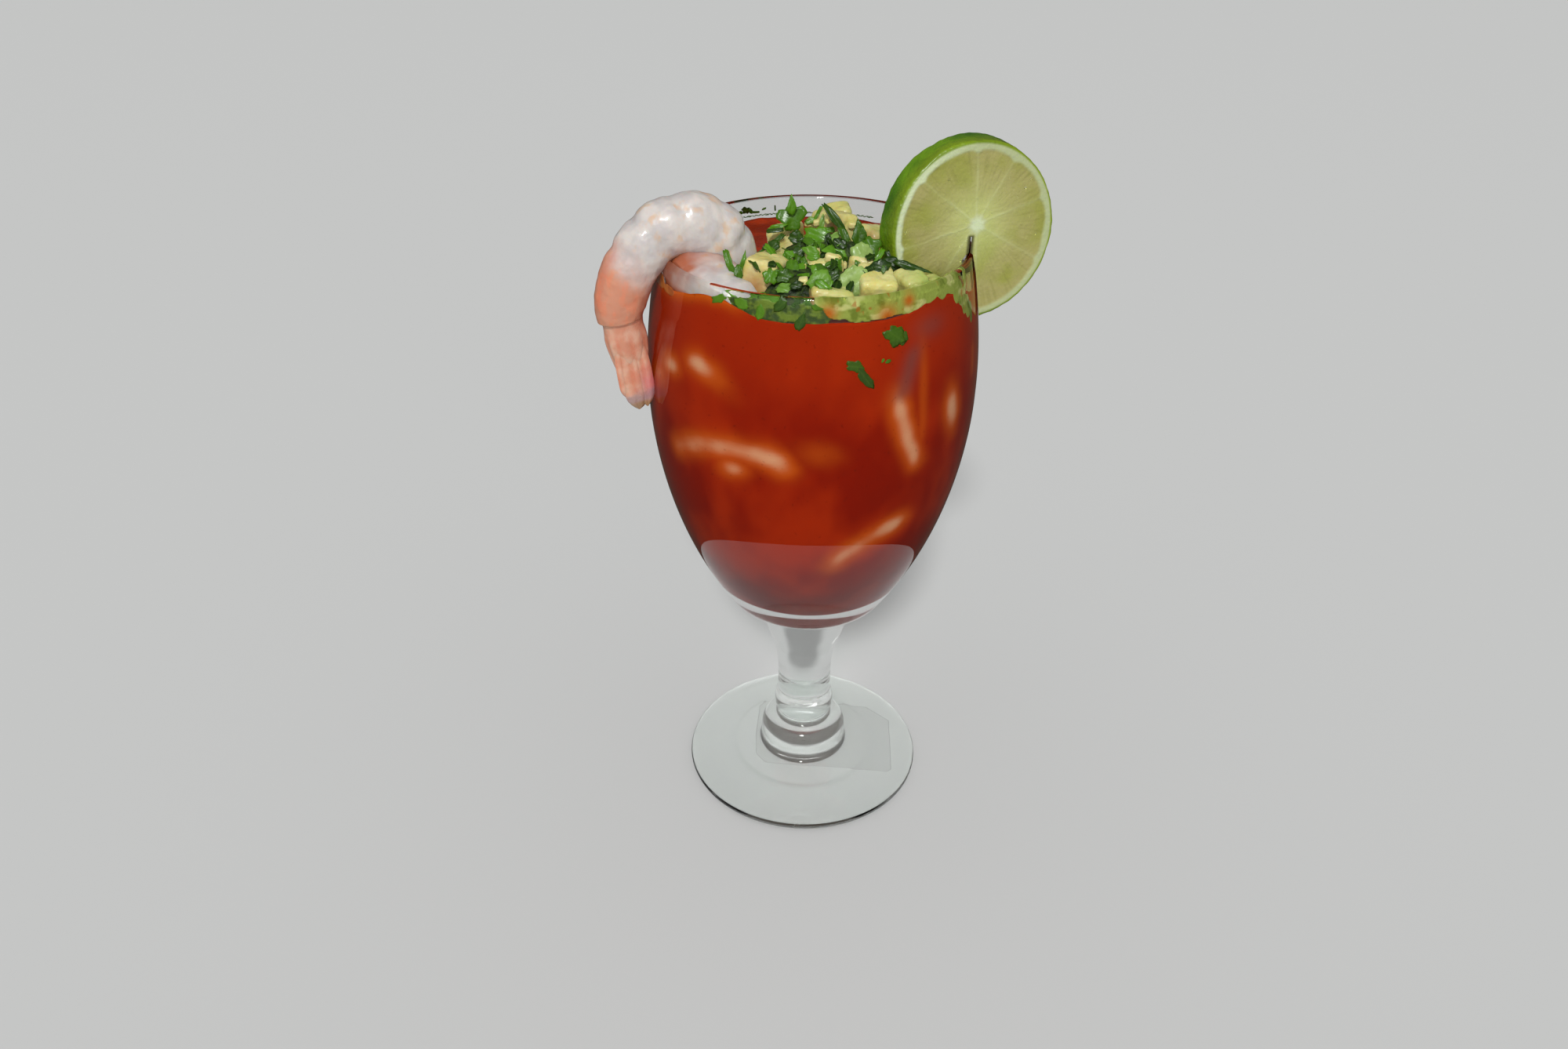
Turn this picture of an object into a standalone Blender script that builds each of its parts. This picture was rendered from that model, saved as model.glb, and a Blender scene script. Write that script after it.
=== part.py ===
"""Prawn cocktail in a stemmed goblet, with a prawn and a lime wheel on the rim.

Metres, +Z up. The origin lies on the goblet's axis at the underside of its foot. +X points at the
lime wheel, so the rim prawn hangs on the other side.

Sub-parts: glass, sauce, rim_prawn, lime_wheel and the avocado chunks avocado_1 ... avocado_11.
"""

import math
import random

import bmesh
import bpy
from mathutils import Matrix, Vector

# ---------------------------------------------------------------- driving dimensions
GAP = 0.0003  # clearance between pieces that touch
ROUND_STEPS = 42  # facets round every turned piece

# goblet
GLASS_HEIGHT = 0.178
LIP_RADIUS = 0.04035  # middle of the wall at the lip
LIP_WALL = 0.0019
BELLY_RADIUS = 0.0454
BELLY_HEIGHT = 0.138
BELLY_WALL = 0.0020
CAVITY_BOTTOM = 0.0740
BOWL_WAIST_RADIUS = 0.0244  # low on the bowl, where it turns in under itself
BOWL_WAIST_HEIGHT = 0.0691
BOWL_SEAT_RADIUS = 0.0134  # where the bowl meets the stem
BOWL_SEAT_HEIGHT = 0.0620
STEM_RADIUS = 0.0084
STEM_TOP = 0.0340
STEM_BOTTOM = 0.0300
COLLAR_RADIUS = 0.0094
COLLAR_TOP = 0.0228
COLLAR_BOTTOM = 0.0199
KNOB_RADIUS = 0.0138
KNOB_NECK_HEIGHT = 0.0174
KNOB_HEIGHT = 0.0112
FOOT_RADIUS = 0.0378
FOOT_EDGE = 0.0032  # thickness of the foot at its edge
FOOT_STEP_RADIUS = 0.0219
FOOT_SHOULDER = 0.0066  # height where the knob runs out into the foot

# sauce
SAUCE_LEVEL = 0.1720

# prawn on the rim: it lies in an upright plane through the goblet's axis
PRAWN_AZIMUTH = math.radians(-160)
PRAWN_SLICES = 44
PRAWN_SIDES = 4  # bevel resolution of its round section
PRAWN_FLESH_SQUEEZE = 0.82  # width across over depth in the plane, for the flesh
PRAWN_TAIL_SQUEEZE = 0.58  # the same for the folded tail fan
PRAWN_TAIL_TOP = 0.1640
PRAWN_TAIL_MIDDLE = 0.1500
PRAWN_GROOVE = 0.0004
PRAWN_GROOVE_SPACING = 7.5  # slices between two body segments
# distance from the axis, height and half depth, from the sunken thick end to the tail's tip
PRAWN_STATIONS = (
    (0.0250, 0.1595, 0.0035),
    (0.0248, 0.1640, 0.0068),
    (0.0246, 0.1710, 0.0080),
    (0.0252, 0.1775, 0.0085),
    (0.0289, 0.1833, 0.0085),
    (0.0348, 0.1855, 0.0079),
    (0.0410, 0.1842, 0.0076),
    (0.0463, 0.1797, 0.0072),
    (0.0503, 0.1736, 0.0071),
    (0.0524, 0.1666, 0.0066),
    (0.0521, 0.1615, 0.0053),
    (0.0514, 0.1570, 0.0053),
    (0.0504, 0.1500, 0.0049),
    (0.0497, 0.1445, 0.0041),
    (0.0491, 0.1400, 0.0026),
    (0.0490, 0.1368, 0.0007),
)

# lime wheel: it stands on the lip, turned from the rim's radius and leaning back
LIME_FRONT_RADIUS = 0.0223
LIME_BACK_RADIUS = 0.0230
LIME_THICKNESS = 0.0074
LIME_EDGE = 0.0008
LIME_TURN = math.radians(20.5)
LIME_LEAN = math.radians(5.5)
LIME_CENTRE = (0.0388, -0.0054, 0.1837)
LIME_SLIT_TOP = 0.1828

# avocado: centre, edge lengths and turns about x, y and z in degrees
AVOCADO_CHUNKS = (
    ((-0.0110, -0.0192, 0.1762), (0.0200, 0.0088, 0.0092), (12, 10, 70)),
    ((0.0024, -0.0166, 0.1755), (0.0086, 0.0100, 0.0105), (8, -6, 10)),
    ((0.0045, 0.0030, 0.1783), (0.0098, 0.0092, 0.0128), (-10, 12, 28)),
    ((0.0062, 0.0155, 0.1772), (0.0078, 0.0076, 0.0112), (6, -10, 8)),
    ((-0.0075, 0.0042, 0.1752), (0.0086, 0.0092, 0.0112), (-8, -12, -14)),
    ((0.0158, 0.0085, 0.1742), (0.0092, 0.0086, 0.0098), (10, 14, 32)),
    ((0.0148, -0.0274, 0.1748), (0.0088, 0.0106, 0.0106), (14, 4, 8)),
    ((0.0238, -0.0236, 0.1738), (0.0066, 0.0080, 0.0098), (6, -8, 30)),
    ((0.0294, -0.0196, 0.1708), (0.0048, 0.0058, 0.0108), (0, 6, 31)),
    ((0.0037, -0.0322, 0.1728), (0.0108, 0.0084, 0.0096), (-6, 8, 4)),
    ((0.0123, -0.0146, 0.1742), (0.0072, 0.0078, 0.0108), (-6, 6, -20)),
)
AVOCADO_ROUNDING = 0.0014
AVOCADO_UNEVEN = 0.0004
AVOCADO_SEED = 11


# ---------------------------------------------------------------- scene and materials
def clear_scene():
    """Removes every object, so that the script can run again in the same file."""
    for thing in list(bpy.data.objects):
        bpy.data.objects.remove(thing, do_unlink=True)


def new_collection(name, parent=None):
    """Adds a collection under parent, or under the scene."""
    group = bpy.data.collections.new(name)
    (parent or bpy.context.scene.collection).children.link(group)
    return group


def make_material(name, colour, roughness, transmission=0.0):
    """A Principled material with one colour."""
    material = bpy.data.materials.new(name)
    material.use_nodes = True
    shader = material.node_tree.nodes["Principled BSDF"]
    shader.inputs["Base Color"].default_value = (*colour, 1.0)
    shader.inputs["Roughness"].default_value = roughness
    shader.inputs["Metallic"].default_value = 0.0
    shader.inputs["Transmission Weight"].default_value = transmission
    return material


def finish_part(part, group, material):
    """Puts a part in its collection, gives it its material and shades it smooth."""
    group.objects.link(part)
    part.data.materials.clear()
    part.data.materials.append(material)
    part.data.shade_smooth()
    part.data.set_sharp_from_angle(angle=math.radians(40))


def finish_cutter(cutter, group):
    """Puts a cutter in its collection and keeps it out of the render."""
    group.objects.link(cutter)
    cutter.hide_render = True
    cutter.display_type = "WIRE"


def cut(part, cutter):
    """Subtracts one cutter from a part."""
    boolean = part.modifiers.new("cut " + cutter.name, "BOOLEAN")
    boolean.operation = "DIFFERENCE"
    boolean.solver = "EXACT"
    boolean.object = cutter


def cut_group(part, group):
    """Subtracts every cutter of a collection from a part."""
    boolean = part.modifiers.new("cut " + group.name, "BOOLEAN")
    boolean.operation = "DIFFERENCE"
    boolean.solver = "EXACT"
    boolean.operand_type = "COLLECTION"
    boolean.collection = group


# ---------------------------------------------------------------- profiles
def bezier(start, lead, trail, end, count):
    """Points after start along a cubic curve, up to and with end."""
    points = []
    for index in range(1, count + 1):
        t = index / count
        s = 1 - t
        weights = (s ** 3, 3 * s * s * t, 3 * s * t * t, t ** 3)
        corners = (start, lead, trail, end)
        radius = sum(w * c[0] for w, c in zip(weights, corners))
        height = sum(w * c[1] for w, c in zip(weights, corners))
        points.append((radius, height))
    return points


def arc(centre, radius, first, last, count):
    """Points of a round stretch, from angle first to last in degrees, both ends included."""
    points = []
    for index in range(count + 1):
        angle = math.radians(first + (last - first) * index / count)
        points.append((centre[0] + radius * math.cos(angle), centre[1] + radius * math.sin(angle)))
    return points


def cavity_profile():
    """Inner side of the bowl, from its bottom on the axis up to just under the lip."""
    lip_height = GLASS_HEIGHT - LIP_WALL / 2
    belly = (BELLY_RADIUS - BELLY_WALL, BELLY_HEIGHT)
    lip = (LIP_RADIUS - LIP_WALL / 2, lip_height)
    points = [(0.0, CAVITY_BOTTOM)]
    points += bezier(points[0], (0.0320, CAVITY_BOTTOM), (belly[0], 0.1040), belly, 9)
    points += bezier(belly, (belly[0], 0.1460), (lip[0] + 0.0034, 0.1570), lip, 3)
    return points


def bowl_profile():
    """Outer side of the bowl, from just under the lip down to its seat on the stem."""
    lip_height = GLASS_HEIGHT - LIP_WALL / 2
    lip = (LIP_RADIUS + LIP_WALL / 2, lip_height)
    belly = (BELLY_RADIUS, BELLY_HEIGHT)
    waist = (BOWL_WAIST_RADIUS, BOWL_WAIST_HEIGHT)
    seat = (BOWL_SEAT_RADIUS, BOWL_SEAT_HEIGHT)
    points = [lip]
    points += bezier(lip, (0.0460, 0.1532), (BELLY_RADIUS, 0.1413), belly, 3)
    points += bezier(belly, (BELLY_RADIUS, 0.1309), (0.0444, 0.0996), waist, 8)
    points += bezier(waist, (0.0204, 0.0658), (0.0166, 0.0629), seat, 2)
    return points


def stem_profile():
    """Flare, stem, collar and knob, from the bowl's seat down to the foot's shoulder."""
    flare = (BOWL_SEAT_RADIUS - 0.0004, BOWL_SEAT_HEIGHT - 0.0008)
    stem_top = (STEM_RADIUS + 0.0001, STEM_TOP)
    stem_bottom = (STEM_RADIUS, STEM_BOTTOM)
    collar = (COLLAR_RADIUS, COLLAR_TOP)
    neck = (COLLAR_RADIUS, KNOB_NECK_HEIGHT)
    knob = (KNOB_RADIUS, KNOB_HEIGHT)
    shoulder = (KNOB_RADIUS + 0.0008, FOOT_SHOULDER)
    points = [flare]
    points += bezier(flare, (0.0130, 0.0492), (stem_top[0], 0.0504), stem_top, 4)
    points += [stem_bottom]
    points += bezier(stem_bottom, (STEM_RADIUS, 0.0272), (COLLAR_RADIUS, 0.0262), collar, 3)
    points += [(COLLAR_RADIUS - 0.0004, COLLAR_BOTTOM), (COLLAR_RADIUS - 0.0008, COLLAR_BOTTOM - 0.0006)]
    points += [neck]
    points += bezier(neck, (0.0122, 0.0171), (KNOB_RADIUS, 0.0142), knob, 3)
    points += bezier(knob, (KNOB_RADIUS, 0.0086), (KNOB_RADIUS - 0.0001, 0.0075), shoulder, 2)
    return points


def foot_profile():
    """Foot from its shoulder over the soft step to the edge and the underside's middle."""
    edge_radius = FOOT_EDGE / 2
    edge_centre = (FOOT_RADIUS - edge_radius, edge_radius)
    shoulder = (KNOB_RADIUS + 0.0008, FOOT_SHOULDER)
    step = (FOOT_STEP_RADIUS, 0.0048)
    points = bezier(shoulder, (0.0168, 0.0058), (0.0196, 0.0052), step, 2)
    points += [(FOOT_STEP_RADIUS + 0.0022, 0.0042), (FOOT_STEP_RADIUS + 0.0044, 0.0038)]
    points += arc(edge_centre, edge_radius, 90, -90, 4)
    points += [(0.0, 0.0)]
    return points


def glass_profile():
    """The whole goblet's outline, from the cavity's bottom over the lip down to the underside."""
    lip = arc((LIP_RADIUS, GLASS_HEIGHT - LIP_WALL / 2), LIP_WALL / 2, 180, 0, 4)
    return cavity_profile() + lip[1:-1] + bowl_profile() + stem_profile() + foot_profile()


def inset(points, distance):
    """Moves a profile that runs up the cavity wall inwards, square to itself."""
    moved = []
    for index, point in enumerate(points):
        before = points[max(index - 1, 0)]
        after = points[min(index + 1, len(points) - 1)]
        run = Vector((after[0] - before[0], after[1] - before[1])).normalized()
        moved.append((max(point[0] - run.y * distance, 0.0), point[1] + run.x * distance))
    moved[0] = (0.0, points[0][1] + distance)
    return moved


def below(points, level):
    """Keeps the part of a rising profile below a level, and ends it on that level."""
    kept = [point for point in points if point[1] < level]
    last = kept[-1]
    after = points[len(kept)]
    share = (level - last[1]) / (after[1] - last[1])
    return kept + [(last[0] + (after[0] - last[0]) * share, level)]


# ---------------------------------------------------------------- makers of solids
def turned(name, profile):
    """A solid of revolution. The profile runs down its outer side."""
    mesh = bpy.data.meshes.new(name)
    verts = [(radius, 0.0, height) for radius, height in profile]
    edges = [(index, index + 1) for index in range(len(profile) - 1)]
    mesh.from_pydata(verts, edges, [])
    part = bpy.data.objects.new(name, mesh)
    screw = part.modifiers.new("turn", "SCREW")
    screw.axis = "Z"
    screw.steps = ROUND_STEPS
    screw.render_steps = ROUND_STEPS
    screw.use_merge_vertices = True
    screw.merge_threshold = 0.00001
    screw.use_smooth_shade = True
    return part


def wall_cutter(name, bottom, top):
    """The bowl's wall with clearance on both sides, between two heights."""
    outside = [(r + GAP, z) for r, z in bowl_profile() if bottom < z]
    inside = [(r - GAP, z) for r, z in cavity_profile() if bottom < z]
    profile = inside + [(inside[-1][0], top), (outside[0][0], top)] + outside
    cutter = turned(name, profile + [profile[0]])
    return cutter


def smooth_path(stations, count):
    """Points of a smooth curve through the stations, with the half depth along."""
    points = []
    last = len(stations) - 1
    for index in range(count):
        place = last * index / (count - 1)
        first = min(int(place), last - 1)
        t = place - first
        corners = [Vector(stations[min(max(first + k, 0), last)]) for k in (-1, 0, 1, 2)]
        lead = (corners[2] - corners[0]) / 2
        trail = (corners[3] - corners[1]) / 2
        rise = 3 * t ** 2 - 2 * t ** 3
        point = corners[1] * (1 - rise) + corners[2] * rise
        point += lead * (t ** 3 - 2 * t ** 2 + t) + trail * (t ** 3 - t ** 2)
        points.append(point)
    return points


def prawn_squeeze(point):
    """Width over depth at a point: round flesh, flatter tail."""
    if point.x < LIP_RADIUS:
        return PRAWN_FLESH_SQUEEZE
    share = (PRAWN_TAIL_TOP - point.z) / (PRAWN_TAIL_TOP - PRAWN_TAIL_MIDDLE)
    share = min(max(share, 0.0), 1.0)
    return PRAWN_FLESH_SQUEEZE + (PRAWN_TAIL_SQUEEZE - PRAWN_FLESH_SQUEEZE) * share


def bent_prawn(name, grow):
    """The curled prawn as a tube of changing depth along its back, turned to its azimuth."""
    first = PRAWN_STATIONS[0]
    stations = ((first[0], first[1] - grow, first[2]),) + PRAWN_STATIONS[1:]
    path = smooth_path(stations, PRAWN_SLICES)
    curve = bpy.data.curves.new(name, "CURVE")
    curve.dimensions = "3D"
    curve.bevel_depth = 1.0
    curve.bevel_resolution = PRAWN_SIDES
    curve.use_fill_caps = True
    spline = curve.splines.new("POLY")
    spline.points.add(len(path) - 1)
    for index, (point, station) in enumerate(zip(spline.points, path)):
        phase = math.cos(2 * math.pi * index / PRAWN_GROOVE_SPACING)
        groove = PRAWN_GROOVE * max(phase, 0.0) ** 2 if station.z > PRAWN_TAIL_TOP else 0.0
        point.co = (station.x, 0.0, station.y, 1.0)
        point.radius = station.z - groove + grow
    wire = bpy.data.objects.new(name, curve)
    bpy.context.scene.collection.objects.link(wire)
    depsgraph = bpy.context.evaluated_depsgraph_get()
    mesh = bpy.data.meshes.new_from_object(wire.evaluated_get(depsgraph))
    bpy.data.objects.remove(wire, do_unlink=True)
    body = bmesh.new()
    body.from_mesh(mesh)
    bmesh.ops.remove_doubles(body, verts=body.verts, dist=0.00001)
    for vert in body.verts:
        vert.co.y *= prawn_squeeze(vert.co)
    body.to_mesh(mesh)
    body.free()
    part = bpy.data.objects.new(name, mesh)
    part.rotation_euler = (0.0, 0.0, PRAWN_AZIMUTH)
    return part


def disc(name, grow):
    """The lime wheel as a round slice with softened edges, standing on its rim."""
    body = bmesh.new()
    bmesh.ops.create_cone(
        body,
        cap_ends=True,
        segments=ROUND_STEPS,
        radius1=LIME_BACK_RADIUS + grow,
        radius2=LIME_FRONT_RADIUS + grow,
        depth=LIME_THICKNESS + 2 * grow,
        matrix=Matrix.Rotation(math.radians(90), 4, "X"),
    )
    mesh = bpy.data.meshes.new(name)
    body.to_mesh(mesh)
    body.free()
    part = bpy.data.objects.new(name, mesh)
    part.location = LIME_CENTRE
    part.rotation_euler = (-LIME_LEAN, 0.0, LIME_TURN)
    edge = part.modifiers.new("rind edge", "BEVEL")
    edge.width = LIME_EDGE
    edge.segments = 2
    edge.limit_method = "ANGLE"
    return part


def chunk(name, number, grow):
    """One diced avocado chunk: an uneven block with rounded edges."""
    centre, size, turns = AVOCADO_CHUNKS[number]
    dice = random.Random(AVOCADO_SEED + number)
    body = bmesh.new()
    bmesh.ops.create_cube(body, size=1.0)
    for vert in body.verts:
        for axis in range(3):
            side = vert.co[axis]
            uneven = dice.uniform(-AVOCADO_UNEVEN, AVOCADO_UNEVEN)
            vert.co[axis] = side * (size[axis] + 2 * grow) + uneven
    mesh = bpy.data.meshes.new(name)
    body.to_mesh(mesh)
    body.free()
    part = bpy.data.objects.new(name, mesh)
    part.location = centre
    part.rotation_euler = [math.radians(turn) for turn in turns]
    soften = part.modifiers.new("soft edges", "BEVEL")
    soften.width = AVOCADO_ROUNDING
    soften.segments = 2
    soften.limit_method = "NONE"
    return part


# ---------------------------------------------------------------- sub-parts
def make_glass(parts):
    """Goblet turned in one piece: lip, bowl, stem, collar, knob and foot."""
    glass = turned("glass", glass_profile())
    finish_part(glass, parts, make_material("clear_glass", (0.90, 0.93, 0.92), 0.02, 1.0))


def make_rim_prawn(parts, cutters):
    """Prawn that hangs over the lip, notched where it sits on the wall."""
    prawn = bent_prawn("rim_prawn", 0.0)
    seat = wall_cutter("prawn seat", 0.1300, GLASS_HEIGHT + GAP)
    finish_cutter(seat, cutters)
    cut(prawn, seat)
    finish_part(prawn, parts, make_material("prawn_flesh", (0.80, 0.62, 0.52), 0.35))


def make_lime_wheel(parts, cutters):
    """Lime slice with the slit that it is pushed over the lip with."""
    lime = disc("lime_wheel", 0.0)
    slit = wall_cutter("lime slit", 0.1300, LIME_SLIT_TOP)
    finish_cutter(slit, cutters)
    cut(lime, slit)
    finish_part(lime, parts, make_material("lime", (0.42, 0.50, 0.12), 0.40))


def make_avocado(parts):
    """Diced avocado heaped in the middle of the glass."""
    material = make_material("avocado", (0.62, 0.58, 0.20), 0.45)
    for number in range(len(AVOCADO_CHUNKS)):
        piece = chunk("avocado_%d" % (number + 1), number, 0.0)
        finish_part(piece, parts, material)


def make_sauce(parts, cutters):
    """Tomato sauce that fills the bowl up to its level, cut round what dips into it."""
    dips = new_collection("sauce cutters", cutters)
    finish_cutter(bent_prawn("prawn in sauce", GAP), dips)
    finish_cutter(disc("lime in sauce", GAP), dips)
    for number in range(len(AVOCADO_CHUNKS)):
        finish_cutter(chunk("avocado in sauce %d" % (number + 1), number, GAP), dips)
    rising = below(inset(cavity_profile(), GAP), SAUCE_LEVEL)
    sauce = turned("sauce", [(0.0, SAUCE_LEVEL)] + rising[::-1])
    cut_group(sauce, dips)
    finish_part(sauce, parts, make_material("tomato_sauce", (0.30, 0.03, 0.01), 0.25))


def main():
    """Builds the prawn cocktail."""
    clear_scene()
    parts = new_collection("prawn_cocktail")
    cutters = new_collection("cutters")
    make_glass(parts)
    make_rim_prawn(parts, cutters)
    make_lime_wheel(parts, cutters)
    make_avocado(parts)
    make_sauce(parts, cutters)


main()
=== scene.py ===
"""A prawn cocktail in its stemmed glass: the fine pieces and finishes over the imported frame."""

import logging
import math
import random
from dataclasses import dataclass
from enum import Enum

import bmesh
import bpy
import numpy as np
from mathutils import Matrix, Vector, noise
from mathutils.bvhtree import BVHTree


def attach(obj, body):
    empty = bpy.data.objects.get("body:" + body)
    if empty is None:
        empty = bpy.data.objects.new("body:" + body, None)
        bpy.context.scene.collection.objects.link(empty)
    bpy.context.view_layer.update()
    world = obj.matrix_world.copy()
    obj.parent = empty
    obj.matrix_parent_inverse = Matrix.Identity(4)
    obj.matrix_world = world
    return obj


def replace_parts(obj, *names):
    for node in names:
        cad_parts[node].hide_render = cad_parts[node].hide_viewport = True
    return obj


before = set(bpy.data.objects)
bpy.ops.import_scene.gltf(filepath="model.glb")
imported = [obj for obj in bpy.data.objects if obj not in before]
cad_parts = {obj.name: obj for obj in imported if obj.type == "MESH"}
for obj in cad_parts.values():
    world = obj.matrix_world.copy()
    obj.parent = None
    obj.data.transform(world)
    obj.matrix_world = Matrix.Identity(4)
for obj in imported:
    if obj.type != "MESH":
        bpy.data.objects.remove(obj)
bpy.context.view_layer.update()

log = logging.getLogger("prawn_cocktail")

Array = np.ndarray
Piece = bpy.types.Object
Finish = bpy.types.Material
Socket = bpy.types.NodeSocket
Colour = tuple[int, int, int]
Pair = tuple[float, float]
Triple = tuple[float, float, float]
Four = tuple[float, float, float, float]
Five = tuple[float, float, float, float, float]

MM = 0.001
GLASS_HEIGHT = 0.1780
LIP_RADIUS = 0.04035
BELLY_HEIGHT = 0.1380
CAVITY_BOTTOM = 0.0740
SAUCE_LEVEL = 0.1716
WALL_BITE = 0.00015
PRAWN_AZIMUTH = -160.0
SAME_PLACE = 1e-7
MM_PER_DEGREE = 0.72


def linear(colour: Colour) -> Four:
    """Turn a screen colour into the linear values that a shader takes.

    Args:
        colour: Red, green and blue from 0 to 255.

    Returns:
        Linear red, green and blue from 0 to 1, and full opacity.
    """
    shares = (channel / 255 for channel in colour)
    return (*(((s + 0.055) / 1.055) ** 2.4 if s > 0.04 else s / 12.92 for s in shares), 1.0)


def ease(low: float, high: float, value: Array) -> Array:
    """Rise smoothly from 0 at low to 1 at high.

    Args:
        low: Value where the rise starts.
        high: Value where it ends.
        value: Numbers to place on it.

    Returns:
        Shares from 0 to 1.
    """
    share = np.clip((np.asarray(value, dtype=float) - low) / (high - low), 0.0, 1.0)
    return share * share * (3 - 2 * share)


def window(value: Array, rise: Pair, fall: Pair) -> Array:
    """Rise from 0 to 1 over one stretch, and fall back over another."""
    return ease(*rise, value) * (1 - ease(*fall, value))


def bell(value: Array, width: float) -> Array:
    """1 where the value is 0, falling off smoothly over width on both sides."""
    return np.exp(-(value / width) ** 2)


def rough(points: Array, size: float, seed: float = 0.0) -> Array:
    """Soft random heights from -1 to 1 at points in space.

    Args:
        points: Rows of x, y, z.
        size: Width of one bump, in metres.
        seed: Moves the pattern.

    Returns:
        One height for each point.
    """
    rows = np.asarray(points).reshape(-1, 3) / size + seed
    return np.array([noise.noise(Vector(row)) for row in rows])


def bezier(start: Pair, lead: Pair, trail: Pair, end: Pair, steps: int) -> list[Pair]:
    """Points along a Bezier curve, without its start.

    Args:
        start: First corner.
        lead: Handle of the first corner.
        trail: Handle of the last corner.
        end: Last corner.
        steps: How many points to give.

    Returns:
        The points, the last of them at end.
    """
    points = []
    for step in range(1, steps + 1):
        t = step / steps
        weights = ((1 - t) ** 3, 3 * t * (1 - t) ** 2, 3 * t * t * (1 - t), t ** 3)
        corners = (start, lead, trail, end)
        points.append(tuple(sum(w * c[k] for w, c in zip(weights, corners)) for k in (0, 1)))
    return points


def arc(centre: Pair, radius: float, first: float, last: float, steps: int) -> list[Pair]:
    """Points along a circle's arc, both ends included.

    Args:
        centre: The circle's centre.
        radius: Its radius.
        first: Angle of the first point, in degrees.
        last: Angle of the last point, in degrees.
        steps: How many stretches to cut the arc into.

    Returns:
        The points.
    """
    turns = (math.radians(first + (last - first) * step / steps) for step in range(steps + 1))
    return [(centre[0] + radius * math.cos(turn), centre[1] + radius * math.sin(turn)) for turn in turns]


def smooth_path(stations: Array, places: Array) -> Array:
    """Read a smooth curve that runs through stations.

    Args:
        stations: One row of numbers for each station.
        places: Where to read it, from 0 at the first station to their number less one.

    Returns:
        One row for each place.
    """
    last = len(stations) - 1
    first = np.minimum(places.astype(int), last - 1)
    t = (places - first)[:, None]
    before, here, after, beyond = (stations[np.clip(first + k, 0, last)] for k in (-1, 0, 1, 2))
    rise = 3 * t ** 2 - 2 * t ** 3
    lead = (after - before) / 2
    trail = (beyond - here) / 2
    return here * (1 - rise) + after * rise + lead * (t ** 3 - 2 * t ** 2 + t) + trail * (t ** 3 - t ** 2)


def quads(rows: int, columns: int, closed: bool) -> list[tuple[int, ...]]:
    """Faces of a grid of points that is stored row by row.

    Args:
        rows: Number of rows.
        columns: Points in a row.
        closed: Whether the last column meets the first.

    Returns:
        Four point numbers for each face.
    """
    row = np.arange(rows - 1)[:, None] * columns
    left = np.arange(columns if closed else columns - 1)[None, :]
    right = (left + 1) % columns
    faces = np.stack([row + left, row + right, row + columns + right, row + columns + left], axis=-1)
    return faces.reshape(-1, 4).tolist()


def clean(mesh: bpy.types.Mesh) -> None:
    """Merge points that meet, drop those on no face, and turn the faces outwards.

    Args:
        mesh: The mesh.
    """
    body = bmesh.new()
    body.from_mesh(mesh)
    bmesh.ops.remove_doubles(body, verts=body.verts, dist=SAME_PLACE)
    loose = [vertex for vertex in body.verts if not vertex.link_faces]
    bmesh.ops.delete(body, geom=loose, context="VERTS")
    bmesh.ops.recalc_face_normals(body, faces=body.faces)
    body.to_mesh(mesh)
    body.free()


def make_mesh(name: str, points: Array, faces: list, weld: bool = True) -> Piece:
    """Make an object from points and faces, shaded smooth.

    Args:
        name: The object's name.
        points: Rows of x, y, z in metres.
        faces: Point numbers of each face.
        weld: Whether to clean the mesh; the points keep their numbers only without.

    Returns:
        The new object, in the scene.
    """
    mesh = bpy.data.meshes.new(name)
    mesh.from_pydata(np.asarray(points, dtype=float).tolist(), [], faces)
    if weld:
        clean(mesh)
    mesh.shade_smooth()
    piece = bpy.data.objects.new(name, mesh)
    bpy.context.scene.collection.objects.link(piece)
    return piece


def joined(bodies: list[tuple[Array, list]]) -> tuple[Array, list]:
    """Points and faces of several bodies as one.

    Args:
        bodies: Points and faces of each.

    Returns:
        The points, and the faces with their new numbers.
    """
    faces, start = [], 0
    for points, some_faces in bodies:
        faces += [tuple(corner + start for corner in face) for face in some_faces]
        start += len(points)
    return np.concatenate([body[0] for body in bodies]), faces


def unit(rows: Array) -> Array:
    """Rows brought to a length of 1."""
    return rows / np.linalg.norm(rows, axis=-1, keepdims=True)


def circle(steps: int) -> Array:
    """Angles all the way round, without the last."""
    return np.linspace(0, 2 * math.pi, steps, endpoint=False)


def around(turns: Array) -> Array:
    """Unit vectors in a plane, for angles in radians."""
    return np.stack([np.cos(turns), np.sin(turns)], axis=-1)


def compass(azimuth: Array) -> Array:
    """Level unit vectors away from the axis, for azimuths in degrees."""
    turn = np.radians(azimuth)
    return np.stack([np.cos(turn), np.sin(turn), 0 * turn], axis=-1)


def move_points(piece: Piece, spots: Array) -> None:
    """Put a piece's points in new places."""
    piece.data.vertices.foreach_set("co", spots.ravel())


def normals_of(piece: Piece) -> Array:
    """Unit vectors out of a piece's surface, one for each point."""
    return np.array([vertex.normal for vertex in piece.data.vertices])


def applied(piece: Piece) -> bpy.types.Mesh:
    """A piece's mesh with its modifiers applied; the piece keeps it, and no modifier.

    Args:
        piece: The piece.

    Returns:
        Its new mesh.
    """
    depsgraph = bpy.context.evaluated_depsgraph_get()
    mesh = bpy.data.meshes.new_from_object(piece.evaluated_get(depsgraph))
    piece.modifiers.clear()
    piece.data = mesh
    return mesh


def ball(rows: int, columns: int) -> Array:
    """Points of a unit ball, in rows from top to bottom.

    Args:
        rows: Rings from top to bottom.
        columns: Points in a ring.

    Returns:
        Rows of x, y, z.
    """
    turns = circle(columns)
    tilts = np.linspace(0, math.pi, rows)[:, None]
    grid = [np.sin(tilts) * np.cos(turns), np.sin(tilts) * np.sin(turns), np.cos(tilts) + 0 * turns]
    return np.stack(grid, axis=-1).reshape(-1, 3)


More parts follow.
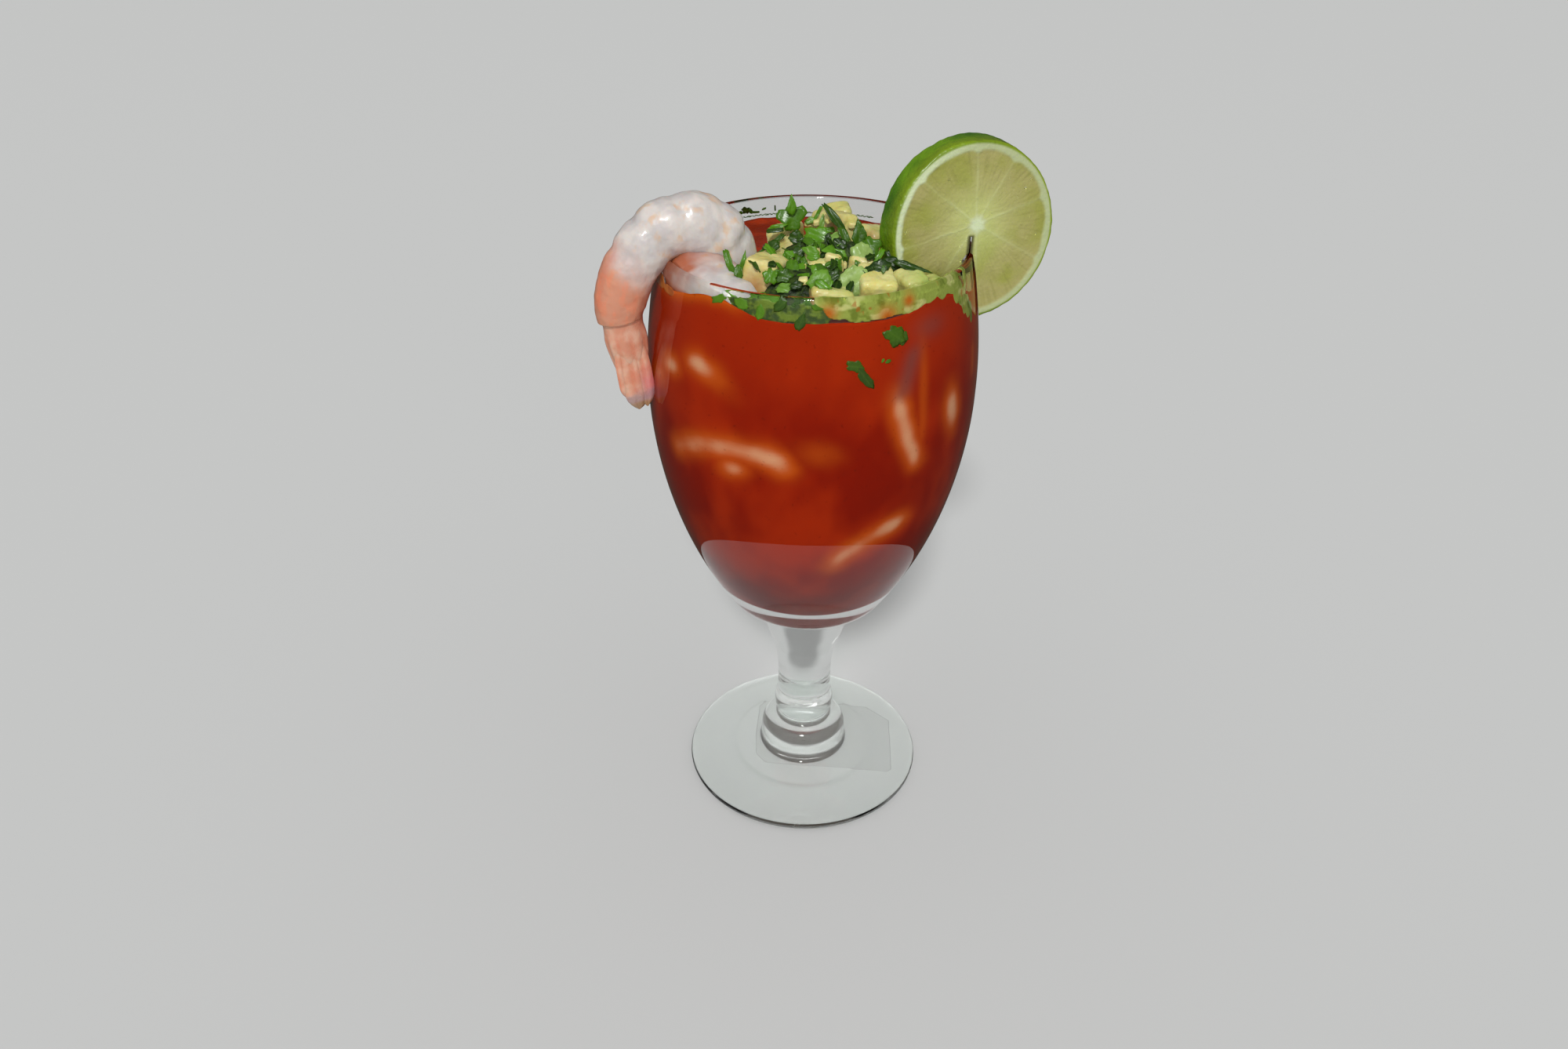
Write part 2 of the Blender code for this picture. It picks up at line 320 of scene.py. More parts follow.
def places_of(piece: Piece) -> Array:
    """Rows of x, y, z of a piece's points.

    Args:
        piece: The piece.

    Returns:
        One row for each point.
    """
    flat = np.empty(len(piece.data.vertices) * 3)
    piece.data.vertices.foreach_get("co", flat)
    return flat.reshape(-1, 3)


def paint(piece: Piece, name: str, values: Array) -> None:
    """Store one number for each point of a piece, for its finish to read."""
    layer = piece.data.attributes.new(name, "FLOAT", "POINT")
    layer.data.foreach_set("value", np.asarray(values, dtype=np.float32))


def dress(piece: Piece, slot: str, *finishes: Finish) -> None:
    """Give a piece its finishes and tie it to the frame.

    Args:
        piece: The piece.
        slot: The record's material slot that it belongs to; not used.
        finishes: Its materials, in the order of its slots.
    """
    piece.data.materials.clear()
    for finish in finishes:
        piece.data.materials.append(finish)
    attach(piece, "root")
    log.info("%s: %d faces", piece.name, len(piece.data.polygons))


def turned(name: str, profile: list[Pair], steps: int, lying: bool = False) -> Piece:
    """Turn a profile round the Z axis into a closed body.

    Args:
        name: The object's name.
        profile: Radius and height of each point, from axis to axis.
        steps: Faces round the axis.
        lying: Whether its axis is Y instead.

    Returns:
        The turned object.
    """
    outline = np.array(profile)
    ring = np.column_stack([around(circle(steps)), np.ones(steps)])
    points = (outline[:, None, [0, 0, 1]] * ring[None]).reshape(-1, 3)
    points = points[:, [0, 2, 1]] if lying else points
    return make_mesh(name, points, quads(len(outline), steps, True))


def both_sides(faces: list, count: int) -> list[tuple[int, ...]]:
    """Faces of a sheet, and the same on its lower side, whose points are numbered on from count."""
    lower = [tuple(corner + count for corner in face[::-1]) for face in faces]
    return [tuple(face) for face in faces] + lower


def swept(centres: Array, across: Array, up: Array, shape: Array) -> tuple[Array, list]:
    """Points and faces of a tube whose section changes along its path.

    Args:
        centres: Middle of each ring.
        across: Unit vector of each ring's first axis.
        up: Unit vector of each ring's second axis.
        shape: For each ring, the two coordinates of each point on it.

    Returns:
        The points, and the faces, ends included.
    """
    rings, sides = shape.shape[:2]
    grid = centres[:, None] + shape[..., :1] * across[:, None] + shape[..., 1:] * up[:, None]
    points = np.concatenate([grid.reshape(-1, 3), centres[:1], centres[-1:]])
    faces = quads(rings, sides, True)
    last = (rings - 1) * sides
    for side in range(sides):
        after = (side + 1) % sides
        faces.append((side, rings * sides, after))
        faces.append((last + after, rings * sides + 1, last + side))
    return points, faces


def tube_marks(places: Array, sides: Array) -> tuple[Array, Array]:
    """A value for each ring and one for each side, spread over the points that swept gives."""
    along = np.r_[np.repeat(places, len(sides)), places[0], places[-1]]
    return along, np.r_[np.tile(sides, len(places)), 0, 0]


def cavity_profile(steps: int) -> list[Pair]:
    """Inner wall of the bowl, from its bottom up to the lip.

    Args:
        steps: Points along its longer curve.

    Returns:
        Radius and height of each point.
    """
    belly = (0.0434, BELLY_HEIGHT)
    points = [(0.0, CAVITY_BOTTOM)]
    points += bezier(points[0], (0.0320, CAVITY_BOTTOM), (0.0434, 0.1040), belly, steps)
    return points + bezier(belly, (0.0434, 0.1460), (0.0428, 0.1570), (0.0394, 0.17705), steps // 2)


CAVITY = np.array(cavity_profile(120))


def cavity_radius(height: Array) -> Array:
    """Radius of the bowl's inner wall at a height."""
    return np.interp(height, CAVITY[:, 1], CAVITY[:, 0])


def on_wall(azimuth: Array, height: Array, outwards: float = 0.0) -> Array:
    """Points on the bowl's inner wall.

    Args:
        azimuth: Direction from the axis, in degrees.
        height: Height, in metres.
        outwards: How far beyond the wall, in metres.

    Returns:
        One row of x, y, z for each point.
    """
    turn = np.radians(azimuth)
    reach = cavity_radius(height) + outwards
    return np.stack([reach * np.cos(turn), reach * np.sin(turn), height + 0 * reach], axis=-1)


class NodeTree:
    """The node tree of a material or a world that is being put together."""

    def __init__(self, owner: bpy.types.ID) -> None:
        """Start with an empty tree.

        Args:
            owner: The material or world.
        """
        owner.use_nodes = True
        self.tree = owner.node_tree
        self.tree.nodes.clear()

    def feed(self, socket: Socket, value: object) -> None:
        """Set a socket to a value, or link it where the value is another socket.

        Args:
            socket: An input.
            value: A number, a colour or another socket.
        """
        if isinstance(value, Socket):
            self.tree.links.new(value, socket)
        else:
            socket.default_value = value

    def node(self, kind: str, inputs: dict, **settings: object) -> bpy.types.Node:
        """Add a node.

        Args:
            kind: Its type, without the leading ShaderNode.
            inputs: Values or sockets, by input name or number.
            settings: The node's own settings.

        Returns:
            The node.
        """
        node = self.tree.nodes.new("ShaderNode" + kind)
        for name, setting in settings.items():
            setattr(node, name, setting)
        for name, value in inputs.items():
            self.feed(node.inputs[name], value)
        return node

    def sums(self, kind: str, first: object, second: object, clamp: bool = False) -> Socket:
        """A sum of two numbers, such as ADD or MULTIPLY, held between 0 and 1 where clamp is set."""
        return self.node("Math", {0: first, 1: second}, operation=kind, use_clamp=clamp).outputs[0]

    def blend(self, share: object, first: object, second: object) -> Socket:
        """Mix two colours; a colour given as red, green and blue is a screen colour.

        Args:
            share: How much of the second, from 0 to 1.
            first: A colour or socket.
            second: A colour or socket.

        Returns:
            The mixed colour.
        """
        ends = [linear(c) if isinstance(c, tuple) else c for c in (first, second)]
        sockets = {0: share, 6: ends[0], 7: ends[1]}
        return self.node("Mix", sockets, data_type="RGBA").outputs[2]


class Shader(NodeTree):
    """A material that is being put together."""

    def __init__(self, name: str) -> None:
        """Start an empty material of that name.

        Args:
            name: The material's name.
        """
        self.material = bpy.data.materials.new(name)
        super().__init__(self.material)
        self.end = self.node("OutputMaterial", {})
        self.place = self.node("TexCoord", {}).outputs["Object"]

    def painted(self, name: str) -> Socket:
        """A number stored on the points of the mesh."""
        return self.node("Attribute", {}, attribute_name=name).outputs["Fac"]

    def tinted(self, base: Socket, **layers: object) -> Socket:
        """Lay colours over a base in turn, each by the painted number of its name.

        Args:
            base: The colour below them.
            layers: Colours or sockets by the names of their numbers.

        Returns:
            The colour.
        """
        for name, colour in layers.items():
            base = self.blend(self.painted(name), base, colour)
        return base

    def speckle(self, size: float, detail: float = 3.0, stretch: Triple = (1, 1, 1)) -> Socket:
        """Soft noise in the piece's own space.

        Args:
            size: Width of one blotch, in metres.
            detail: How many finer layers it has.
            stretch: Scale along each axis.

        Returns:
            Its values, about 0 to 1.
        """
        spread = self.node("Mapping", {"Vector": self.place, "Scale": stretch})
        sockets = {"Vector": spread.outputs[0], "Scale": 1 / size, "Detail": detail}
        return self.node("TexNoise", sockets).outputs["Fac"]

    def span(self, value: Socket, low: float, high: float, to_low: float = 0.0, most: float = 1.0) -> Socket:
        """Carry a value from one range to another, smoothly and held at the ends."""
        sockets = {"Value": value, "From Min": low, "From Max": high, "To Min": to_low, "To Max": most}
        return self.node("MapRange", sockets, interpolation_type="SMOOTHSTEP").outputs[0]

    def bumps(self, height: object, depth: float, strength: float = 1.0) -> Socket:
        """A bumped normal from heights of 0 to 1 that stand depth metres high."""
        sockets = {"Height": height, "Distance": depth, "Strength": strength}
        return self.node("Bump", sockets).outputs[0]

    def finish(self, inputs: dict) -> Finish:
        """Close the material with one Principled shader.

        Args:
            inputs: Values or sockets for the shader, by input name.

        Returns:
            The material.
        """
        surface = self.node("BsdfPrincipled", inputs)
        self.tree.links.new(surface.outputs[0], self.end.inputs[0])
        return self.material


@dataclass(frozen=True)
class ClearGlass:
    """Clear glass that lets lamps reach what is behind it."""

    tint: Colour = (245, 247, 246)
    bend: float = 1.50

    def material(self) -> Finish:
        """Make the glass.

        Returns:
            The material.
        """
        shader = Shader("clear_glass")
        sockets = {"Base Color": linear(self.tint), "IOR": self.bend, "Roughness": 0.0}
        body = shader.node("BsdfPrincipled", sockets | {"Transmission Weight": 1.0})
        clear = shader.node("BsdfTransparent", {"Color": linear(self.tint)})
        lamps = shader.node("LightPath", {}).outputs["Is Shadow Ray"]
        ends = {0: lamps, 1: body.outputs[0], 2: clear.outputs[0]}
        shader.feed(shader.end.inputs[0], shader.node("MixShader", ends).outputs[0])
        return shader.material


@dataclass(frozen=True)
class TomatoSauce:
    """Tomato sauce, deep red with orange where something pale lies close behind."""

    deep: Colour = (138, 24, 5)
    bright: Colour = (170, 44, 8)
    orange: Colour = (204, 90, 18)
    pale: Colour = (222, 172, 132)
    onion: Colour = (128, 70, 62)
    speck: Colour = (84, 18, 8)
    open_deep: Colour = (124, 32, 10)
    open_bright: Colour = (158, 48, 16)

    def behind_glass(self) -> Finish:
        """The sauce as it lies against the glass, without a gloss of its own.

        Returns:
            The material.
        """
        shader = Shader("sauce_behind_glass")
        cloud = shader.span(shader.speckle(0.016, 2.0, (1, 1, 0.6)), 0.36, 0.66)
        base = shader.blend(cloud, self.deep, self.bright)
        base = shader.tinted(base, high=self.bright, glow=self.orange, core=self.pale, onion=self.onion)
        specks = shader.span(shader.speckle(0.0009, 1.0), 0.70, 0.76, 0.0, 0.35)
        base = shader.blend(specks, base, self.speck)
        return shader.finish({"Base Color": base, "Roughness": 0.9, "Specular IOR Level": 0.0})

    def surface(self) -> Finish:
        """The wet open surface of the sauce.

        Returns:
            The material.
        """
        shader = Shader("sauce_surface")
        cloud = shader.span(shader.speckle(0.006, 3.0), 0.35, 0.68)
        base = shader.blend(cloud, self.open_deep, self.open_bright)
        bump = shader.bumps(shader.speckle(0.0035, 3.0), 0.0006)
        sockets = {"Base Color": base, "Roughness": 0.30, "Normal": bump, "Specular IOR Level": 0.25}
        return shader.finish(sockets)


@dataclass(frozen=True)
class PrawnFlesh:
    """Boiled prawn: milky white with orange mottling, pinker towards the tail."""

    milk: Colour = (212, 205, 199)
    shade: Colour = (196, 190, 188)
    mottle: Colour = (214, 182, 150)
    pink: Colour = (208, 142, 112)
    flush: Colour = (232, 138, 100)
    red: Colour = (204, 92, 58)
    stain: Colour = (172, 80, 26)

    def material(self) -> Finish:
        """Make the flesh.

        Returns:
            The material.
        """
        shader = Shader("prawn_flesh")
        base = shader.blend(shader.span(shader.speckle(0.004, 3.0), 0.35, 0.65), self.milk, self.shade)
        spots = shader.span(shader.speckle(0.0048, 4.0, (1, 1.3, 0.8)), 0.56, 0.68, 0.0, 0.75)
        base = shader.blend(spots, base, self.mottle)
        base = shader.tinted(base, pink=self.pink)
        streaks = shader.span(shader.speckle(0.0022, 3.0, (1, 1, 0.5)), 0.50, 0.66)
        flush = shader.sums("MULTIPLY", shader.painted("pink"), streaks)
        base = shader.blend(shader.sums("MULTIPLY", flush, 0.45), base, self.flush)
        base = shader.tinted(base, red=self.red, stain=self.stain)
        grain = shader.sums("ADD", shader.speckle(0.0016, 1.0), shader.speckle(0.0034, 1.0))
        sockets = {"Base Color": base, "Roughness": 0.42, "Normal": shader.bumps(grain, 0.00018)}
        sockets |= {"Subsurface Weight": 0.55, "Subsurface Radius": (1.0, 0.55, 0.4)}
        sockets |= {"Subsurface Scale": 0.0035, "Coat Weight": 0.6, "Coat Roughness": 0.14}
        return shader.finish(sockets)


@dataclass(frozen=True)
class PrawnShell:
    """Thin boiled shell of the tail, with long streaks."""

    body: Colour = (214, 146, 118)
    pale: Colour = (222, 172, 146)
    streak: Colour = (216, 118, 84)
    rose: Colour = (210, 112, 118)
    ash: Colour = (160, 140, 146)
    tip: Colour = (158, 124, 84)

    def material(self) -> Finish:
        """Make the shell.

        Returns:
            The material.
        """
        shader = Shader("prawn_shell")
        base = shader.blend(shader.span(shader.speckle(0.005, 2.0), 0.4, 0.62), self.body, self.pale)
        base = shader.tinted(base, streak=self.streak, rose=self.rose, ash=self.ash, tip=self.tip)
        sockets = {"Base Color": base, "Roughness": 0.36, "Coat Weight": 0.5, "Coat Roughness": 0.2}
        sockets |= {"Normal": shader.bumps(shader.speckle(0.0008, 2.0), 0.00012)}
        sockets |= {"Subsurface Weight": 0.15, "Subsurface Scale": 0.0015}
        return shader.finish(sockets)


@dataclass(frozen=True)
class LimeFlesh:
    """Cut lime: pale juicy flesh, whiter walls, pith with painted light on its left, a bumpy green rind,
    painted shade in the slit.
    """

    juice: Colour = (150, 152, 68)
    clear: Colour = (164, 158, 96)
    bright: Colour = (192, 200, 124)
    wall: Colour = (190, 196, 138)
    pith: Colour = (176, 186, 140)
    # Pith where painted light falls on its left side, and the pith's own whiter colour at the heart.
    lit_side_and_heart_pith: Colour = (206, 218, 178)
    rind: Colour = (104, 146, 12)
    dark_rind: Colour = (54, 104, 8)
    yellow_rind: Colour = (132, 150, 18)
    grain: Colour = (132, 130, 62)
    # Painted shade in the slit that the glass lip sits in.
    slit: Colour = (52, 48, 22)

    def material(self) -> Finish:
        """Make the lime.

        Returns:
            The material.
        """
        shader = Shader("lime_fruit")
        blotch = shader.span(shader.speckle(0.012, 2.0), 0.38, 0.62)
        base = shader.blend(blotch, self.juice, self.clear)
        base = shader.tinted(base, bright=self.bright, grain=self.grain, wall=self.wall)
        # Painted light: the pith is lighter on its left side; near the heart this is its own whiter colour.
        pith = shader.blend(shader.painted("lit_side_and_heart"), self.pith, self.lit_side_and_heart_pith)
        skin = shader.blend(shader.span(shader.speckle(0.014, 2.0), 0.36, 0.62), self.dark_rind, self.rind)
        skin = shader.tinted(skin, yellow=self.yellow_rind)
        # The slit's colour is painted shade in the cut.
        base = shader.tinted(base, pith=pith, rind=skin, slit=self.slit)
        height = shader.sums("ADD", shader.speckle(0.0010, 1.0), shader.speckle(0.0032, 2.0))
        sockets = {"Base Color": base, "Roughness": 0.40, "Normal": shader.bumps(height, 0.00022)}
        sockets |= {"Subsurface Weight": 0.25, "Subsurface Radius": (0.8, 1.0, 0.3)}
        sockets |= {"Subsurface Scale": 0.002, "Coat Weight": 0.35, "Coat Roughness": 0.22}
        return shader.finish(sockets)


@dataclass(frozen=True)
class AvocadoFlesh:
    """Ripe avocado, yellow inside and greener towards where its skin was."""

    yellow: Colour = (216, 204, 118)
    cream: Colour = (224, 214, 146)
    green: Colour = (164, 182, 92)
    sauced: Colour = (156, 70, 20)

    def material(self) -> Finish:
        """Make the flesh.

        Returns:
            The material.
        """
        shader = Shader("avocado_flesh")
        base = shader.blend(shader.span(shader.speckle(0.004, 3.0), 0.36, 0.64), self.yellow, self.cream)
        base = shader.tinted(base, green=self.green, sauced=self.sauced)
        height = shader.sums("ADD", shader.speckle(0.0014, 2.0), shader.speckle(0.0040, 2.0))
        sockets = {"Base Color": base, "Roughness": 0.45, "Normal": shader.bumps(height, 0.00030)}
        sockets |= {"Subsurface Weight": 0.2, "Subsurface Scale": 0.002}
        sockets |= {"Coat Weight": 0.4, "Coat Roughness": 0.2}
        return shader.finish(sockets)


@dataclass(frozen=True)
class AvocadoMash:
    """Avocado crushed against the glass, pale and green by turns, stained with sauce."""

    deep: Colour = (112, 130, 44)
    green: Colour = (152, 168, 76)
    cream: Colour = (198, 202, 126)
    sauced: Colour = (192, 100, 24)
    streak: Colour = (176, 92, 26)

    def material(self) -> Finish:
        """Make the mash.

        Returns:
            The material.
        """
        shader = Shader("avocado_mash")
        base = shader.blend(shader.span(shader.speckle(0.0034, 3.0), 0.36, 0.52), self.deep, self.green)
        lumps = shader.span(shader.speckle(0.0046, 2.0, (1, 1, 1.4)), 0.52, 0.66)
        base = shader.blend(lumps, base, self.cream)
        base = shader.tinted(base, sauced=self.sauced)
        streaks = shader.span(shader.speckle(0.0022, 2.0), 0.62, 0.70, 0.0, 0.6)
        base = shader.blend(streaks, base, self.streak)
        bump = shader.bumps(shader.speckle(0.0020, 2.0), 0.0004)
        sockets = {"Base Color": base, "Roughness": 0.5, "Specular IOR Level": 0.15, "Normal": bump}
        return shader.finish(sockets)


@dataclass(frozen=True)
class CorianderLeaf:
    """Fresh chopped coriander, from dark to pale green."""

    dark: Colour = (24, 50, 6)
    middle: Colour = (84, 136, 16)
    pale: Colour = (152, 178, 100)
    vein: Colour = (112, 150, 44)

    def material(self) -> Finish:
        """Make the leaf.

        Returns:
            The material.
        """
        shader = Shader("coriander_leaf")
        tone = shader.painted("tone")
        base = shader.blend(shader.span(tone, 0.0, 0.5), self.dark, self.middle)
        base = shader.blend(shader.span(tone, 0.5, 1.0), base, self.pale)
        shade = shader.span(shader.speckle(0.0025, 2.0), 0.5, 0.75, 0.0, 0.35)
        base = shader.blend(shade, base, self.dark)
        base = shader.tinted(base, vein=self.vein)
        sockets = {"Base Color": base, "Roughness": 0.40, "Specular IOR Level": 0.28}
        sockets |= {"Normal": shader.bumps(shader.speckle(0.0012, 2.0), 0.00020)}
        sockets |= {"Coat Weight": 0.12, "Coat Roughness": 0.15}
        return shader.finish(sockets)


@dataclass(frozen=True)
class PlainFinish:
    """A finish of two near colours in soft blotches."""

    name: str
    first: Colour
    second: Colour
    blotch: float
    sheen: float = 0.4
    depth: float = 0.0002

    def material(self) -> Finish:
        """Make the finish.

        Returns:
            The material.
        """
        shader = Shader(self.name)
        share = shader.span(shader.speckle(self.blotch, 3.0), 0.38, 0.62)
        bump = shader.bumps(shader.speckle(self.blotch / 2, 2.0), self.depth)
        base = shader.blend(share, self.first, self.second)
        return shader.finish({"Base Color": base, "Roughness": self.sheen, "Normal": bump})


@dataclass
class Goblet:
    """The stemmed glass, finely turned from the same outline as its frame."""

    steps: int = 160
    curve_steps: int = 22
    ring_heights: tuple[float, ...] = (0.0440, 0.0415, 0.0385, 0.0300, 0.0262, 0.0236)
    ring_width: float = 0.0005
    ring_depth: float = 0.00012

    def outside(self) -> list[Pair]:
        """Outer profile, from the lip down to the foot's underside.

        Returns:
            Radius and height of each point.
        """
        n = self.curve_steps
        lip = arc((LIP_RADIUS, GLASS_HEIGHT - 0.00095), 0.00095, 180, 0, 10)
        belly = (0.0454, BELLY_HEIGHT)
        bowl = bezier(lip[-1], (0.0460, 0.1532), (0.0454, 0.1413), belly, n)
        bowl += bezier(belly, (0.0454, 0.1309), (0.0444, 0.0996), (0.0244, 0.0691), 2 * n)
        bowl += bezier(bowl[-1], (0.0204, 0.0658), (0.0166, 0.0629), (0.0134, 0.0620), n // 2)
        stem = bezier((0.0130, 0.0612), (0.0130, 0.0492), (0.0085, 0.0504), (0.0085, 0.0340), n)
        stem += [(0.0084, 0.0300)]
        stem += bezier(stem[-1], (0.0084, 0.0272), (0.0094, 0.0262), (0.0094, 0.0228), 8)
        stem += bezier(stem[-1], (0.0094, 0.0208), (0.0092, 0.0202), (0.0086, 0.0193), 6)
        stem += bezier(stem[-1], (0.0086, 0.0184), (0.0088, 0.0180), (0.0094, 0.0174), 4)
        stem += bezier(stem[-1], (0.0122, 0.0171), (0.0138, 0.0142), (0.0138, 0.0112), 12)
        stem += bezier(stem[-1], (0.0138, 0.0086), (0.0137, 0.0075), (0.0146, 0.0066), 8)
        foot = bezier(stem[-1], (0.0168, 0.0058), (0.0196, 0.0053), (0.0217, 0.0049), 12)
        foot += bezier(foot[-1], (0.0228, 0.0047), (0.0232, 0.0040), (0.0250, 0.0039), 8)
        foot += bezier(foot[-1], (0.0290, 0.0036), (0.0330, 0.0030), (0.0364, 0.0022), 10)
        foot += bezier(foot[-1], (0.0373, 0.0020), (0.0378, 0.0017), (0.0378, 0.0011), 6)
        foot += bezier(foot[-1], (0.0378, 0.0004), (0.0374, 0.0000), (0.0366, 0.0000), 6)
        rings = [(r + self.ring(z), z) for r, z in stem]
        return lip + bowl + rings + foot + [(0.0, 0.0)]

    def ring(self, height: float) -> float:
        """How far the stem swells in its fine rings at a height."""
        swell = sum(bell(height - at, self.ring_width) for at in self.ring_heights)
        return self.ring_depth * swell

    def build(self, finish: ClearGlass) -> None:
        """Turn the glass.

        Args:
            finish: Its glass.
        """
        profile = cavity_profile(self.curve_steps * 2)[:-1] + self.outside()
        glass = turned("goblet_clear", profile, self.steps)
        dress(glass, "clear_glass", finish.material())
        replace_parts(glass, "glass")


@dataclass
class SunkPrawn:
    """A prawn under the sauce whose back comes close to the glass.

    Each touch gives an azimuth in degrees, a height in mm, and the sauce left in front of it in mm.
    """

    touches: tuple[Triple, ...]
    girth: float = 5.5
    sides: int = 20
    rings: int = 72

    def shape(self) -> tuple[Array, list]:
        """Points and faces of the curled body.

        Returns:
            The points, and the faces.
        """
        marks = np.array(self.touches)
        walls = on_wall(marks[:, 0], marks[:, 1] * MM)
        inwards = -unit(walls * (1, 1, 0))
        centres = walls + inwards * (marks[:, 2:] + self.girth) * MM
        places = np.linspace(0, len(marks) - 1, self.rings)
        path = smooth_path(centres, places)
        along = unit(np.gradient(path, axis=0))
        side = unit(np.cross(along, smooth_path(inwards, places)))
        front = np.cross(side, along)
        share = np.linspace(0, 1, self.rings)
        taper = np.clip(np.minimum(share, 1 - share) * 8, 0, 1) ** 0.5
        radius = self.girth * MM * taper
        section = around(circle(self.sides)) * (0.9, 1)
        return swept(path, side, front, radius[:, None, None] * section[None])


SUNK_PRAWNS = (
    SunkPrawn(((-160, 145.5, 2.4), (-154, 147.6, 0.8), (-150, 150.6, 1.5), (-146, 152.8, 0.25),
               (-143.5, 153.1, 0.4), (-139.5, 154.4, 2.6)), 2.3),
    SunkPrawn(((-138, 155.6, 2.6), (-132.4, 156.8, 0.15), (-128.5, 156.2, 0.20), (-124, 155.2, 1.0),
               (-118, 152.5, 2.4), (-112, 148, 4.0)), 2.7),
    SunkPrawn(((-147, 127, 2.5), (-141.2, 131.4, 0.9), (-133, 134.4, 0.55), (-124, 136.4, 0.45),
               (-114.4, 137.0, 0.35), (-104, 136.6, 0.05), (-99, 134.8, 0.6), (-95, 131, 3.0)), 4.2),
    SunkPrawn(((-122, 130.5, 2.4), (-117.5, 131.4, 0.5), (-114.5, 132.0, 0.7), (-110, 133.2, 2.4)), 2.6),
    SunkPrawn(((-96, 140, 3.0), (-87, 138.7, 1.5), (-80, 137.5, 3.0)), 4.0),
    SunkPrawn(((-62.0, 155, 2.4), (-60.4, 149.8, 0.35), (-58.6, 145, 0.25), (-56.2, 139.6, 0.20),
               (-53.0, 133.8, 0.35), (-50, 129, 2.4)), 2.6),
    SunkPrawn(((-37, 150.5, 2.6), (-35.8, 145.4, 0.25), (-34.6, 140.6, 0.25), (-33, 135, 2.6)), 3.6),
    SunkPrawn(((-51, 116, 2.6), (-57.4, 114, 0.15), (-65, 111.6, 0.7), (-72, 108.4, 0.6),
               (-78, 104.5, 0.8), (-82, 99, 2.4)), 3.8),
)


